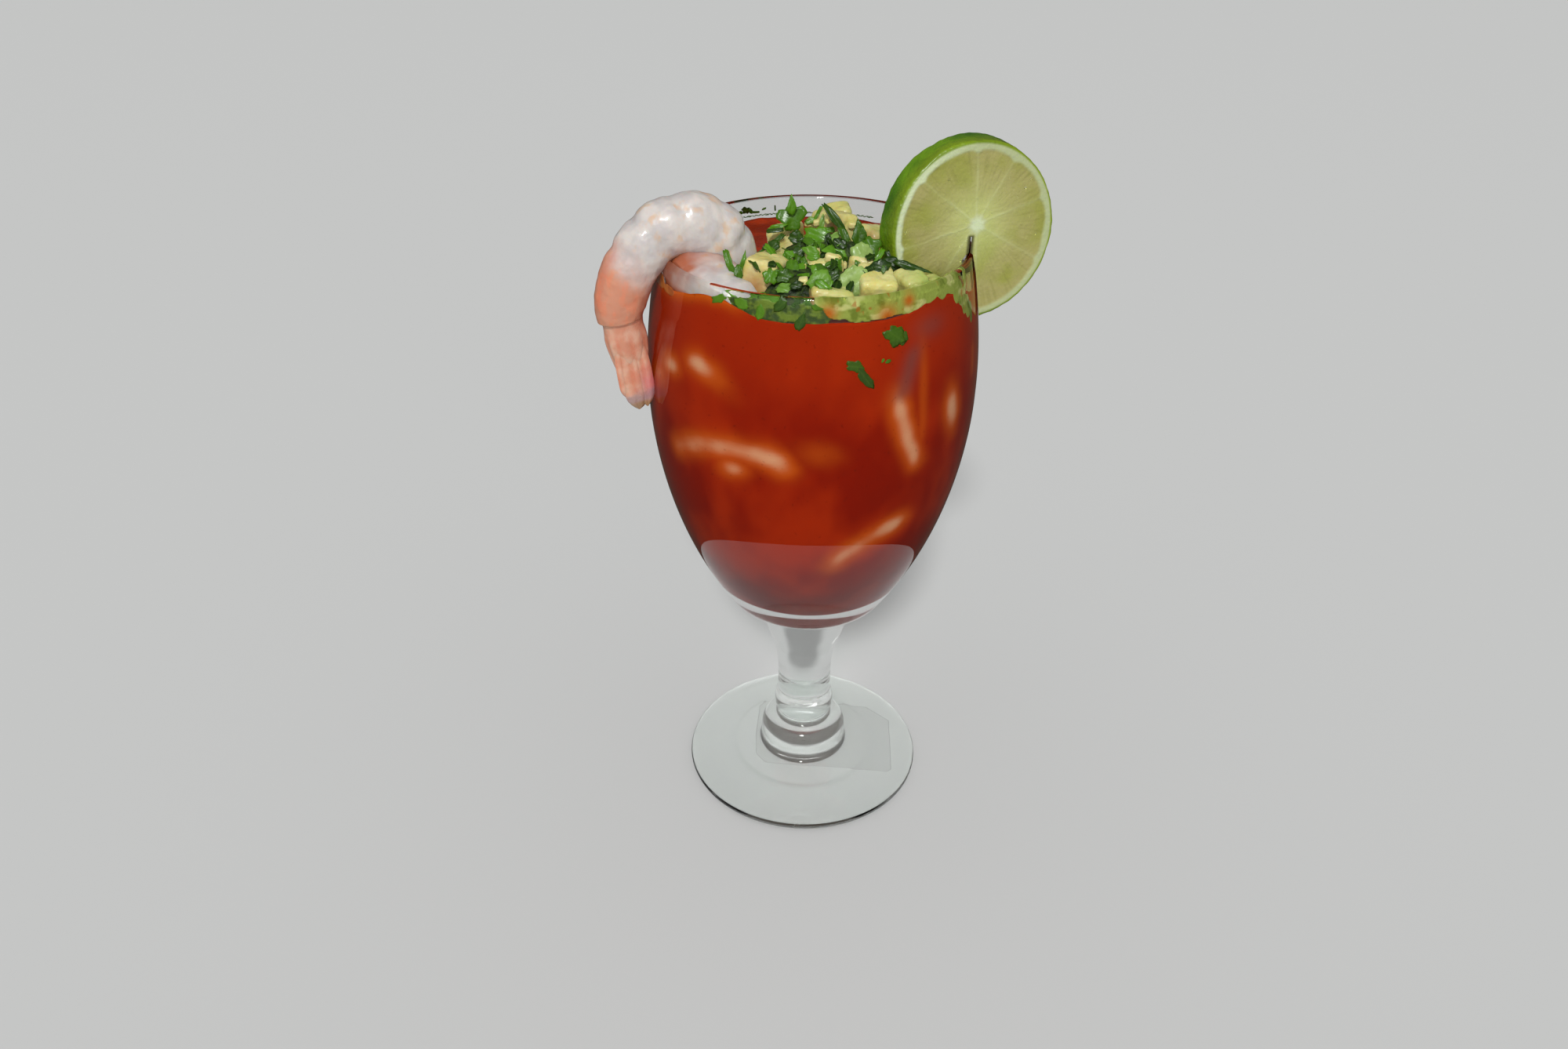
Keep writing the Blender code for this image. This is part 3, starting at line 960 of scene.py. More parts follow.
@dataclass
class SauceFill:
    """Everything inside the bowl up to the sauce's level, and the prawns sunk in it.

    Each tongue of the sauce's edge gives an azimuth and a half width in degrees, and its rise in mm. Each
    flush of orange gives an azimuth in degrees, a height in mm, its half width and height, and its strength.
    A prawn's orange shows through glow_depth mm of sauce, and its flesh through core_depth mm.
    """

    sweep: int = 440
    rows: int = 150
    rings: int = 44
    edge_wave: float = 0.0005
    prawn_reach: float = 0.008
    glow_depth: float = 2.1
    core_depth: float = 0.70
    shore_depth: float = 0.0019
    shore_ends: tuple[Pair, Pair] = ((-174, -162), (-124, -110))
    open_dip: float = 0.0006
    open_depth: float = 0.0022
    tongues: tuple[Triple, ...] = (
        (-44, 9.5, 2.6), (-30, 5.0, 1.2), (-17, 6.0, -2.2), (-130, 13, 2.2), (-121, 9, 1.4),
    )
    flushes: tuple[Five, ...] = (
        (-50.6, 149.0, 2.2, 16.0, 0.55), (-19.0, 152.0, 2.2, 5.0, 0.65), (-8.0, 160.0, 9.0, 26.0, 0.50),
    )
    prawns: tuple[SunkPrawn, ...] = SUNK_PRAWNS

    def gap(self, place: Vector, bodies: list[BVHTree]) -> float:
        """Distance in mm from a place to the nearest sunk prawn, or 99 where all are far."""
        found = (body.find_nearest(place, self.prawn_reach)[3] for body in bodies)
        return min((gap / MM for gap in found if gap is not None), default=99.0)

    def sunk_prawns(self) -> list[BVHTree]:
        """Make the sunk prawns as one piece.

        Returns:
            A search tree for each prawn.
        """
        bodies = [prawn.shape() for prawn in self.prawns]
        trees = [BVHTree.FromPolygons(points.tolist(), faces) for points, faces in bodies]
        piece = make_mesh("sunk_prawns", *joined(bodies), weld=False)
        flesh = PlainFinish("sunk_prawn_flesh", (226, 206, 190), (232, 176, 140), 0.004)
        dress(piece, "prawn_flesh", flesh.material())
        return trees

    def edge(self, azimuth: Array) -> Array:
        """Height of the sauce's wavy edge on the glass in each direction.

        Args:
            azimuth: Directions from the axis, in degrees.

        Returns:
            Heights in metres.
        """
        aim = compass(azimuth)
        edge = SAUCE_LEVEL + self.edge_wave * (rough(aim, 0.30, 4.0) + 0.6 * rough(aim, 0.09, 9.0))
        for middle, reach, rise in self.tongues:
            edge += rise * MM * bell(azimuth - middle, reach)
        return edge

    def wall_points(self) -> Array:
        """Grid of points against the glass, from the bottom up to the wavy edge.

        Returns:
            Rows from the bottom up, each all the way round.
        """
        azimuth = np.linspace(-180, 180, self.sweep, endpoint=False)
        edge = self.edge(azimuth)
        steps = np.r_[0, np.cumsum(np.linalg.norm(np.diff(CAVITY, axis=0), axis=1))]
        top = np.interp(SAUCE_LEVEL, CAVITY[:, 1], steps)
        heights = np.interp(np.linspace(0, top, self.rows), steps, CAVITY[:, 1])
        rise = (heights - CAVITY_BOTTOM) / (SAUCE_LEVEL - CAVITY_BOTTOM)
        grid = heights[:, None] + (edge - SAUCE_LEVEL)[None] * rise[:, None] ** 6
        points = on_wall(np.broadcast_to(azimuth, grid.shape), grid, WALL_BITE)
        points[0, :, :2] = 0
        return points

    def top_points(self, edge: Array) -> Array:
        """Rings of the open surface, from its edge to its middle.

        Args:
            edge: The points of its edge.

        Returns:
            Rings from the edge inwards.
        """
        share = np.linspace(1, 0, self.rings)[1:, None]
        inner = edge[None, :, :2] * share[..., None]
        radius = np.linalg.norm(edge[:, :2], axis=1)[None] * (1 - share)
        climb = np.exp(-radius / 0.0016)
        flat = np.concatenate([inner, np.zeros((*inner.shape[:2], 1))], axis=-1)
        swell = rough(flat, 0.010, 3.0).reshape(radius.shape) * 0.00025
        level = SAUCE_LEVEL - self.open_dip + swell * (1 - climb)
        height = level * (1 - climb) + edge[None, :, 2] * climb
        return np.concatenate([inner, height[..., None]], axis=-1)

    def build(self, finish: TomatoSauce) -> None:
        """Make the sauce and what is sunk in it.

        Args:
            finish: The sauce's colours.
        """
        prawns = self.sunk_prawns()
        wall = self.wall_points()
        top = self.top_points(wall[-1])
        points = np.concatenate([wall.reshape(-1, 3), top.reshape(-1, 3)])
        rows = self.rows + self.rings - 1
        sauce = make_mesh("sauce_fill", points, quads(rows, self.sweep, True))
        self.stain(sauce, prawns)
        dress(sauce, "tomato_sauce", finish.behind_glass(), finish.surface())
        for face in sauce.data.polygons:
            if face.center.z > SAUCE_LEVEL - self.open_depth and face.normal.z > 0.5:
                face.material_index = 1
        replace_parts(sauce, "sauce")

    def stain(self, sauce: Piece, prawns: list[BVHTree]) -> None:
        """Paint where the sauce is orange over prawns, brighter towards the top, or shows onion.

        Args:
            sauce: The piece.
            prawns: Search trees of what is sunk in it.
        """
        places = places_of(sauce)
        gap = np.array([self.gap(Vector(place), prawns) for place in places])
        azimuth = np.degrees(np.arctan2(places[:, 1], places[:, 0]))
        height = places[:, 2]
        mottle = rough(places, 0.0035, 1.0)
        drift = rough(places, 0.0080, 6.0)
        glow = 0.95 * bell((gap + 0.30 * mottle + 0.5 * drift).clip(0), self.glow_depth)
        shore = bell((self.edge(azimuth) - height).clip(0), self.shore_depth)
        glow = np.maximum(glow, 0.95 * shore * window(azimuth, *self.shore_ends))
        for middle, level, across, rise, strength in self.flushes:
            spread = ((azimuth - middle + 0.6 * drift) / across) ** 2 + ((height / MM - level) / rise) ** 4
            glow = np.maximum(glow, strength * np.exp(-spread))
        paint(sauce, "glow", glow)
        paint(sauce, "core", 0.9 * bell((gap + 0.22 * mottle).clip(0), self.core_depth))
        paint(sauce, "high", 0.75 * ease(0.140, 0.168, height))
        lane = bell(azimuth + 57 - (height - 0.157) * 450, 3.6)
        band = lane * window(height, (0.149, 0.153), (0.161, 0.166))
        patch = np.exp(-((azimuth + 47) / 7.5) ** 2 - ((height - 0.1675) / 0.0030) ** 2)
        paint(sauce, "onion", 0.75 * band + 0.55 * patch)


@dataclass
class RimPrawn:
    """The curled prawn that hangs over the lip, and its tail.

    Each station gives distance from the glass's axis, height and half depth, in mm. Creases, the joint and
    the ends of the tail's blades are places on this path, counted in stations; see blade for the rest.
    """

    stations: tuple[Triple, ...] = (
        (25.0, 159.5, 3.5), (24.8, 164.0, 6.8), (24.6, 171.0, 8.0), (25.2, 177.5, 8.5),
        (28.9, 183.3, 8.5), (34.8, 185.5, 7.9), (41.0, 184.2, 7.6), (46.3, 179.7, 7.2),
        (50.3, 173.6, 7.1), (52.4, 166.6, 6.6), (52.1, 161.5, 5.3), (51.4, 157.0, 5.3),
        (50.4, 150.0, 4.9), (49.7, 144.5, 4.1), (49.1, 140.0, 2.6), (49.0, 136.8, 0.7),
    )
    creases: tuple[float, ...] = (1.6, 3.45, 4.15, 5.35, 6.45, 7.40)
    joint: float = 9.60
    shell_start: float = 9.0
    flesh_squeeze: float = 0.92
    blades: tuple[tuple[float, ...], ...] = (
        (11.2, 14.95, 0.0, 0.0, 3.0, 1.7), (10.9, 14.6, 2.3, -2.2, 2.3, 0.9),
        (10.9, 15.0, 2.5, 0.9, 2.9, 0.9), (11.0, 14.6, -2.3, -2.0, 2.2, 0.8),
        (11.0, 14.8, -2.3, 1.6, 2.3, 0.8), (10.9, 14.4, 2.1, 2.9, 1.9, 0.9),
    )
    flesh_rings: int = 260
    sides: int = 96

    def frame_along(self, places: Array) -> tuple[Array, Array, Array, Array]:
        """Read the prawn's path.

        Args:
            places: Station numbers, with parts of one between them.

        Returns:
            Middles, outward axes, sideways axes, and the half depths, one for each place.
        """
        path = smooth_path(np.array(self.stations) * MM, places)
        away, side, up = compass(PRAWN_AZIMUTH), compass(PRAWN_AZIMUTH + 90), np.array((0.0, 0.0, 1.0))
        run = unit(np.gradient(path[:, :2], axis=0))
        back = -run[:, 1:] * away + run[:, :1] * up
        centres = path[:, :1] * away + path[:, 1:2] * up
        return centres, back, np.broadcast_to(side, back.shape), path[:, 2]

    def flesh(self, finish: PrawnFlesh) -> Piece:
        """Make the body, with a crease between each pair of segments.

        Args:
            finish: Its flesh.

        Returns:
            The piece.
        """
        places = np.linspace(0, self.joint + 0.25, self.flesh_rings)
        centres, back, side, depth = self.frame_along(places)
        turns = circle(self.sides)
        outer, sideways = np.cos(turns), np.sin(turns)
        dent = np.zeros((len(places), self.sides))
        for crease in self.creases:
            lag = (places[:, None] - crease) + 0.16 * np.abs(sideways)[None] ** 2
            width = 0.15 + 0.05 * (1 - outer[None])
            dent += bell(lag, width) * (0.040 + 0.035 * outer[None])
            dent -= 0.030 * bell(lag + 0.50, 0.30) * (0.6 + 0.4 * outer[None])
        depth = depth[:, None]
        beyond = (places - self.shell_start)[:, None]
        shell = (0.00655 - 0.0005 * beyond) * (0.94 + 0.06 * outer[None])
        radius = np.where(beyond > 0, np.maximum(depth, shell), depth) * (1 - dent)
        end = 1 - ease(self.joint + 0.10, self.joint + 0.25, places)[:, None] * 0.9
        shape = np.stack([radius * outer * end, radius * sideways * self.flesh_squeeze * end], axis=-1)
        points, faces = swept(centres, back, side, shape)
        piece = make_mesh("rim_prawn_flesh", points, faces, weld=False)
        spots = places_of(piece)
        lumps = 0.34 * rough(spots, 0.0046, 2.0) + 0.12 * rough(spots, 0.0019, 5.0)
        spots += normals_of(piece) * (lumps * MM)[:, None]
        move_points(piece, spots)
        along, outward = tube_marks(places, outer)
        blur = rough(spots, 0.006, 8.0)
        pink = ease(6.95, 8.35, along + 0.50 * blur + 0.06 * outward)
        paint(piece, "pink", pink * 0.95)
        line = bell(outward - 0.92, 0.10) * window(along, (7.0, 7.8), (8.9, 9.4))
        paint(piece, "red", 0.30 * line)
        rim = LIP_RADIUS * compass(PRAWN_AZIMUTH) + (0, 0, GLASS_HEIGHT)
        near = np.linalg.norm(spots - rim, axis=1)
        paint(piece, "stain", 0.9 * np.exp(-((near - 0.0005) / 0.0030) ** 2 * (1 + 0.5 * blur)))
        dress(piece, "prawn_flesh", finish.material())
        return piece

    def sleeve(self) -> tuple[Array, list, Array]:
        """Points, faces and marks of the shell round the last segment.

        Returns:
            The points, the faces, and three marks for each point, as blade gives.
        """
        places = np.linspace(self.joint - 0.10, self.joint + 2.9, 100)
        centres, back, side, depth = self.frame_along(places)
        turns = circle(self.sides)
        outer, sideways = np.cos(turns), np.sin(turns)
        share = (places - places[0]) / (places[-1] - places[0])
        folds = 0.030 * ease(0.10, 0.6, share)[:, None] * np.cos(9 * turns + 0.6)[None]
        taper = 1.0 + 0.05 * ease(0.1, 0.5, share) - 0.16 * ease(0.5, 1.0, share)
        shut = 1 - 0.8 * ease(0.97, 1.0, share)
        radius = depth[:, None] * (taper * shut)[:, None] * (0.99 + folds)
        squeeze = (0.86 - 0.20 * ease(0.0, 0.8, share))[:, None]
        shape = np.stack([radius * outer, radius * sideways * squeeze], axis=-1)
        points, faces = swept(centres, back, side, shape)
        along, angle = tube_marks(places, turns)
        return points, faces, np.stack([along, np.cos(9 * angle + 0.6), np.cos(angle)], axis=-1)

    def blade(self, first: float, last: float, aside: float, out: float, width: float, thick: float) -> tuple:
        """One blade of the folded tail fan.

        Args:
            first: Place where it starts.
            last: Place of its tip.
            aside: How far it lies towards the side, in mm.
            out: How far it lies towards the prawn's back, in mm.
            width: Half its width, in mm.
            thick: Half its thickness, in mm.

        Returns:
            Its points, faces and marks.
        """
        places = np.linspace(first, last, 70)
        centres, back, side, _ = self.frame_along(places)
        share = np.linspace(0, 1, len(places))
        close = 0.60 if out > 0 else 0.20
        spread = (0.85 + 0.15 * ease(0.0, 0.4, share)) * (1 - close * ease(0.60, 1.0, share))
        centres = centres + (back * out + side * aside) * spread[:, None] * MM
        turns = circle(40)
        point = np.sqrt(np.clip(1 - ease(0.55, 1.02, share) ** 2, 0.01, 1))
        form = (0.88 + 0.12 * ease(0.0, 0.3, share)) * point
        ribs = 1 + 0.10 * np.cos(6 * turns)[None] * ease(0.0, 0.2, share)[:, None]
        form = form[:, None]
        shape = [width * form * np.cos(turns), thick * (0.5 + 0.5 * form) * np.sin(turns) * ribs]
        points, faces = swept(centres, back, side, np.stack(shape, axis=-1) * MM)
        along, angle = tube_marks(places, turns)
        return points, faces, np.stack([along, np.cos(6 * angle), 0.25 * out + 0.4 * np.cos(angle)], axis=-1)

    def tail(self, finish: PrawnShell) -> Piece:
        """Make the shell of the last segment and the folded fan below it.

        Args:
            finish: Its shell.

        Returns:
            The piece.
        """
        parts = [self.sleeve()] + [self.blade(*blade) for blade in self.blades]
        piece = make_mesh("rim_prawn_tail", *joined([part[:2] for part in parts]), weld=False)
        along, ridge, outer = np.concatenate([marks for _, _, marks in parts]).T
        spots = places_of(piece)
        blur = rough(spots * (1, 1, 0.30), 0.0020, 3.0)
        wander = along + 0.35 * rough(spots, 0.0030, 7.0)
        stripe = ease(0.1, 0.9, -ridge + 0.9 * blur)
        paint(piece, "streak", 0.42 * stripe * window(along, (10.2, 10.9), (13.0, 13.8)))
        rosy = window(wander, (11.9, 12.8), (13.6, 14.1))
        paint(piece, "rose", np.clip(rosy * (0.16 - 0.80 * outer), 0, 0.85))
        paint(piece, "ash", 0.65 * window(wander, (13.1, 13.7), (14.0, 14.4)))
        paint(piece, "tip", 0.85 * ease(13.9, 14.4, wander))
        dress(piece, "prawn_flesh", finish.material())
        return piece

    def build(self, flesh: PrawnFlesh, shell: PrawnShell) -> None:
        """Make the whole prawn in place of its solid."""
        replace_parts(self.flesh(flesh), "rim_prawn")
        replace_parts(self.tail(shell), "rim_prawn")


@dataclass
class LimeWheel:
    """The slice of lime pushed over the lip, its cut face towards the front."""

    centre: Triple = (0.0388, -0.0054, 0.1837)
    front_radius: float = 0.0223
    back_radius: float = 0.0230
    thickness: float = 0.0074
    edge: float = 0.0008
    turn: float = 20.5
    lean: float = 5.5
    heart: Pair = (0.0005, 0.0018)
    spokes: tuple[float, ...] = (92, 57, 16, -30, -88, -127, 193, 142)
    slit_top: float = 0.1828
    sweep: int = 420

    def matrix(self) -> Matrix:
        """Where the slice stands: its front looks along its own -Y.

        Returns:
            The matrix from its own space.
        """
        turn = Matrix.Rotation(math.radians(self.turn), 4, "Z")
        lean = Matrix.Rotation(math.radians(-self.lean), 4, "X")
        return Matrix.Translation(Vector(self.centre)) @ turn @ lean

    def outline(self) -> list[Pair]:
        """Radius and depth along the slice, from the front's middle to the back's.

        Returns:
            The points of the half section.
        """
        half = self.thickness / 2
        front = [(radius, -half) for radius in np.linspace(0, self.front_radius - self.edge, 96)]
        round_front = arc((self.front_radius - self.edge, -half + self.edge), self.edge, -90, 0, 6)[1:]
        side = [(self.front_radius + (self.back_radius - self.front_radius) * t, -half + self.edge
                 + (self.thickness - 2 * self.edge) * t) for t in np.linspace(0.1, 0.9, 16)]
        round_back = arc((self.back_radius - self.edge, half - self.edge), self.edge, 0, 90, 6)
        back = [(radius, half) for radius in np.linspace(self.back_radius - self.edge, 0, 48)[1:]]
        return front + round_front + side + round_back + back

    def anatomy(self, local: Array) -> dict[str, Array]:
        """Where walls, pith, rind and grain lie, and where the pith takes painted light on its left side and
        is its own whiter colour at the heart.

        Args:
            local: Points in the slice's own space.

        Returns:
            Shares from 0 to 1 by name.
        """
        x, z = local[:, 0], local[:, 2]
        radius = np.hypot(x, z)
        from_heart = np.hypot(x - self.heart[0], z - self.heart[1])
        angle = np.degrees(np.arctan2(z - self.heart[1], x - self.heart[0]))
        wobble = rough(local * (1, 0, 1), 0.006, 3.0)
        wall = np.zeros(len(local))
        dips = np.zeros(len(local))
        for spoke in self.spokes:
            off = np.radians((angle - spoke + 1.0 * wobble + 180) % 360 - 180)
            distance = np.abs(off) * np.maximum(from_heart, 0.001) / MM
            line = bell(distance, 0.30 + 0.05 * wobble) * (0.75 + 0.5 * wobble)
            wall = np.maximum(wall, line + 0.25 * bell(distance, 1.3))
            dips = np.maximum(dips, bell(distance, 1.1))
        wall *= 1 - 0.60 * ease(0.005, 0.015, from_heart)
        flat = np.abs(local[:, 1]) > self.thickness / 2 - self.edge * 0.5
        rim_radius = self.front_radius - 0.0019 - 0.0007 * dips + 0.0004 * wobble
        pith = ease(rim_radius - 0.0009, rim_radius + 0.0001, radius)
        pith = np.maximum(pith, 1 - ease(0.0011, 0.0034, from_heart + 0.0006 * wobble + 0.0008 * (1 - dips)))
        rind = ease(self.front_radius - 0.0011, self.front_radius - 0.0005, radius)
        rind = np.where(flat, rind, 1.0)
        polar = np.stack([np.radians(angle) * 0.022, from_heart * 0.16, 0 * angle], axis=-1)
        grain = ease(-0.05, 0.45, rough(polar, 0.0009, 2.0)) * (1 - pith)
        grain *= 0.35 + 0.65 * ease(0.008, 0.018, radius)
        bright = 0.85 * bell(from_heart, 0.0085) * (1 - pith)
        # Painted light on the pith's left side, and the whiter pith round the heart, which is its own colour.
        lit_side_and_heart = np.maximum(1 - ease(-0.017, 0.004, x), 1 - ease(0.002, 0.005, from_heart))
        shares = {"wall": 0.55 * wall * (1 - pith), "pith": 0.92 * pith, "rind": rind, "grain": 0.30 * grain}
        return shares | {"bright": bright, "lit_side_and_heart": lit_side_and_heart}

    def build(self, finish: LimeFlesh) -> None:
        """Make the slice, and cut the slit that the glass sits in.

        Args:
            finish: The fruit's colours.
        """
        lime = turned("lime_wheel_cut", self.outline(), self.sweep, lying=True)
        spots = places_of(lime)
        parts = self.anatomy(spots)
        front = spots[:, 1] < -self.thickness / 2 + 1e-5
        juicy = (1 - parts["pith"]) * (1 - parts["rind"])
        relief = 0.22 * juicy * (rough(spots, 0.0045, 6.0) - 0.6 * parts["grain"] + 0.8 * parts["wall"] - 0.8)
        spots[:, 1] += np.where(front, -relief, np.where(spots[:, 1] > 0.0036, relief, 0)) * MM
        pores = rough(spots, 0.0017, 1.0) * 0.16 + rough(spots, 0.009, 1.5) * 0.30
        skin = parts["rind"] * pores * MM / np.maximum(np.hypot(spots[:, 0], spots[:, 2]), 0.01)
        spots[:, 0] *= 1 + skin
        spots[:, 2] *= 1 + skin
        move_points(lime, spots)
        lime.data.transform(self.matrix())
        self.cut_slit(lime)
        local = places_of(lime)
        back = np.array(self.matrix().inverted())
        local = local @ back[:3, :3].T + back[:3, 3]
        for name, shares in self.anatomy(local).items():
            paint(lime, name, shares)
        yellow = ease(-0.002, 0.0035, -local[:, 1]) * 0.6 + 0.3 * ease(0.0, 0.02, local[:, 0])
        paint(lime, "yellow", yellow)
        # Painted shade: darken the flesh in and round the slit, below its top.
        places = places_of(lime)
        lip = np.abs(np.hypot(places[:, 0], places[:, 1]) - LIP_RADIUS)
        below = 1 - ease(self.slit_top, self.slit_top + 0.0008, places[:, 2])
        paint(lime, "slit", 0.85 * (1 - ease(0.0004, 0.0011, lip)) * below)
        dress(lime, "lime", finish.material())
        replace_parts(lime, "lime_wheel")

    def cut_slit(self, lime: Piece) -> None:
        """Cut a slot round the lip out of the slice.

        Args:
            lime: The slice.
        """
        inner, outer, top = LIP_RADIUS - 0.0016, LIP_RADIUS + 0.0013, GLASS_HEIGHT + 0.0002
        shut = 0.00022
        profile = [(inner, 0.150), (inner, top - 0.0012), (LIP_RADIUS - 0.0009, top)]
        profile += [(LIP_RADIUS - shut, top + 0.0006), (LIP_RADIUS - shut, self.slit_top)]
        profile += [(LIP_RADIUS + shut, self.slit_top), (LIP_RADIUS + shut, top + 0.0006)]
        profile += [(LIP_RADIUS + 0.0009, top), (outer + 0.0008, top - 0.0050), (outer + 0.0046, 0.150)]
        profile.append(profile[0])
        cutter = turned("slit_cutter", profile, 160)
        change = lime.modifiers.new("slit", "BOOLEAN")
        change.object = cutter
        change.solver = "EXACT"
        applied(lime)
        bpy.data.objects.remove(cutter, do_unlink=True)


@dataclass
class AvocadoHeap:
    """The diced avocado, softened from the plain solids of the frame.

    Each stain of sauce gives its place and its width, in mm.
    """

    voxel: float = 0.00042
    greens: tuple[float, ...] = (0.05, 0.10, 0.12, 0.25, 0.10, 0.30, 0.15, 0.60, 0.75, 0.30, 0.05)
    stains: tuple[Four, ...] = (
        (-14.5, -28.5, 175.5, 4.4), (-9.6, -31.0, 173.4, 4.0), (4.7, -1.2, 182.2, 2.6),
        (13.6, 3.0, 178.0, 2.4), (-1.2, -34.6, 175.0, 2.4),
    )

    def build(self, finish: AvocadoFlesh) -> list[Piece]:
        """Make every chunk.

        Args:
            finish: The flesh.

        Returns:
            The chunks.
        """
        material = finish.material()
        chunks = []
        for number, green in enumerate(self.greens, start=1):
            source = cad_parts["avocado_%d" % number]
            chunk = bpy.data.objects.new("avocado_chunk_%d" % number, source.data.copy())
            bpy.context.scene.collection.objects.link(chunk)
            remesh = chunk.modifiers.new("even", "REMESH")
            remesh.mode = "VOXEL"
            remesh.voxel_size = self.voxel
            smooth = chunk.modifiers.new("soft", "SMOOTH")
            smooth.iterations = 2
            mesh = applied(chunk)
            spots = places_of(chunk)
            push = 0.26 * rough(spots, 0.0030, number) + 0.12 * rough(spots, 0.0012, number)
            spots += normals_of(chunk) * (push * MM)[:, None]
            move_points(chunk, spots)
            mesh.shade_smooth()
            low, high = spots.min(axis=0), spots.max(axis=0)
            side = (spots[:, 0] - low[0]) / (high[0] - low[0])
            paint(chunk, "green", np.clip(green + 0.75 * green * (side - 0.5) * 2, 0, 1))
            level = spots[:, 2] - SAUCE_LEVEL + 0.0022 * rough(spots, 0.004, 9.0)
            wet = 1 - ease(0.0006, 0.0034, level)
            for x, y, z, width in self.stains:
                near = np.linalg.norm(spots / MM - (x, y, z), axis=1) + 0.9 * rough(spots, 0.003, 4.0)
                wet = np.maximum(wet, 0.85 * bell(near, width))
            paint(chunk, "sauced", 0.85 * wet)
            dress(chunk, "avocado", material)
            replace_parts(chunk, "avocado_%d" % number)
            chunks.append(chunk)
        return chunks


class LeafCut(Enum):
    """How a piece of coriander was left by the knife."""

    LOBED = "lobed"
    CHIP = "chip"
    STRIP = "strip"
    POINTED = "pointed"


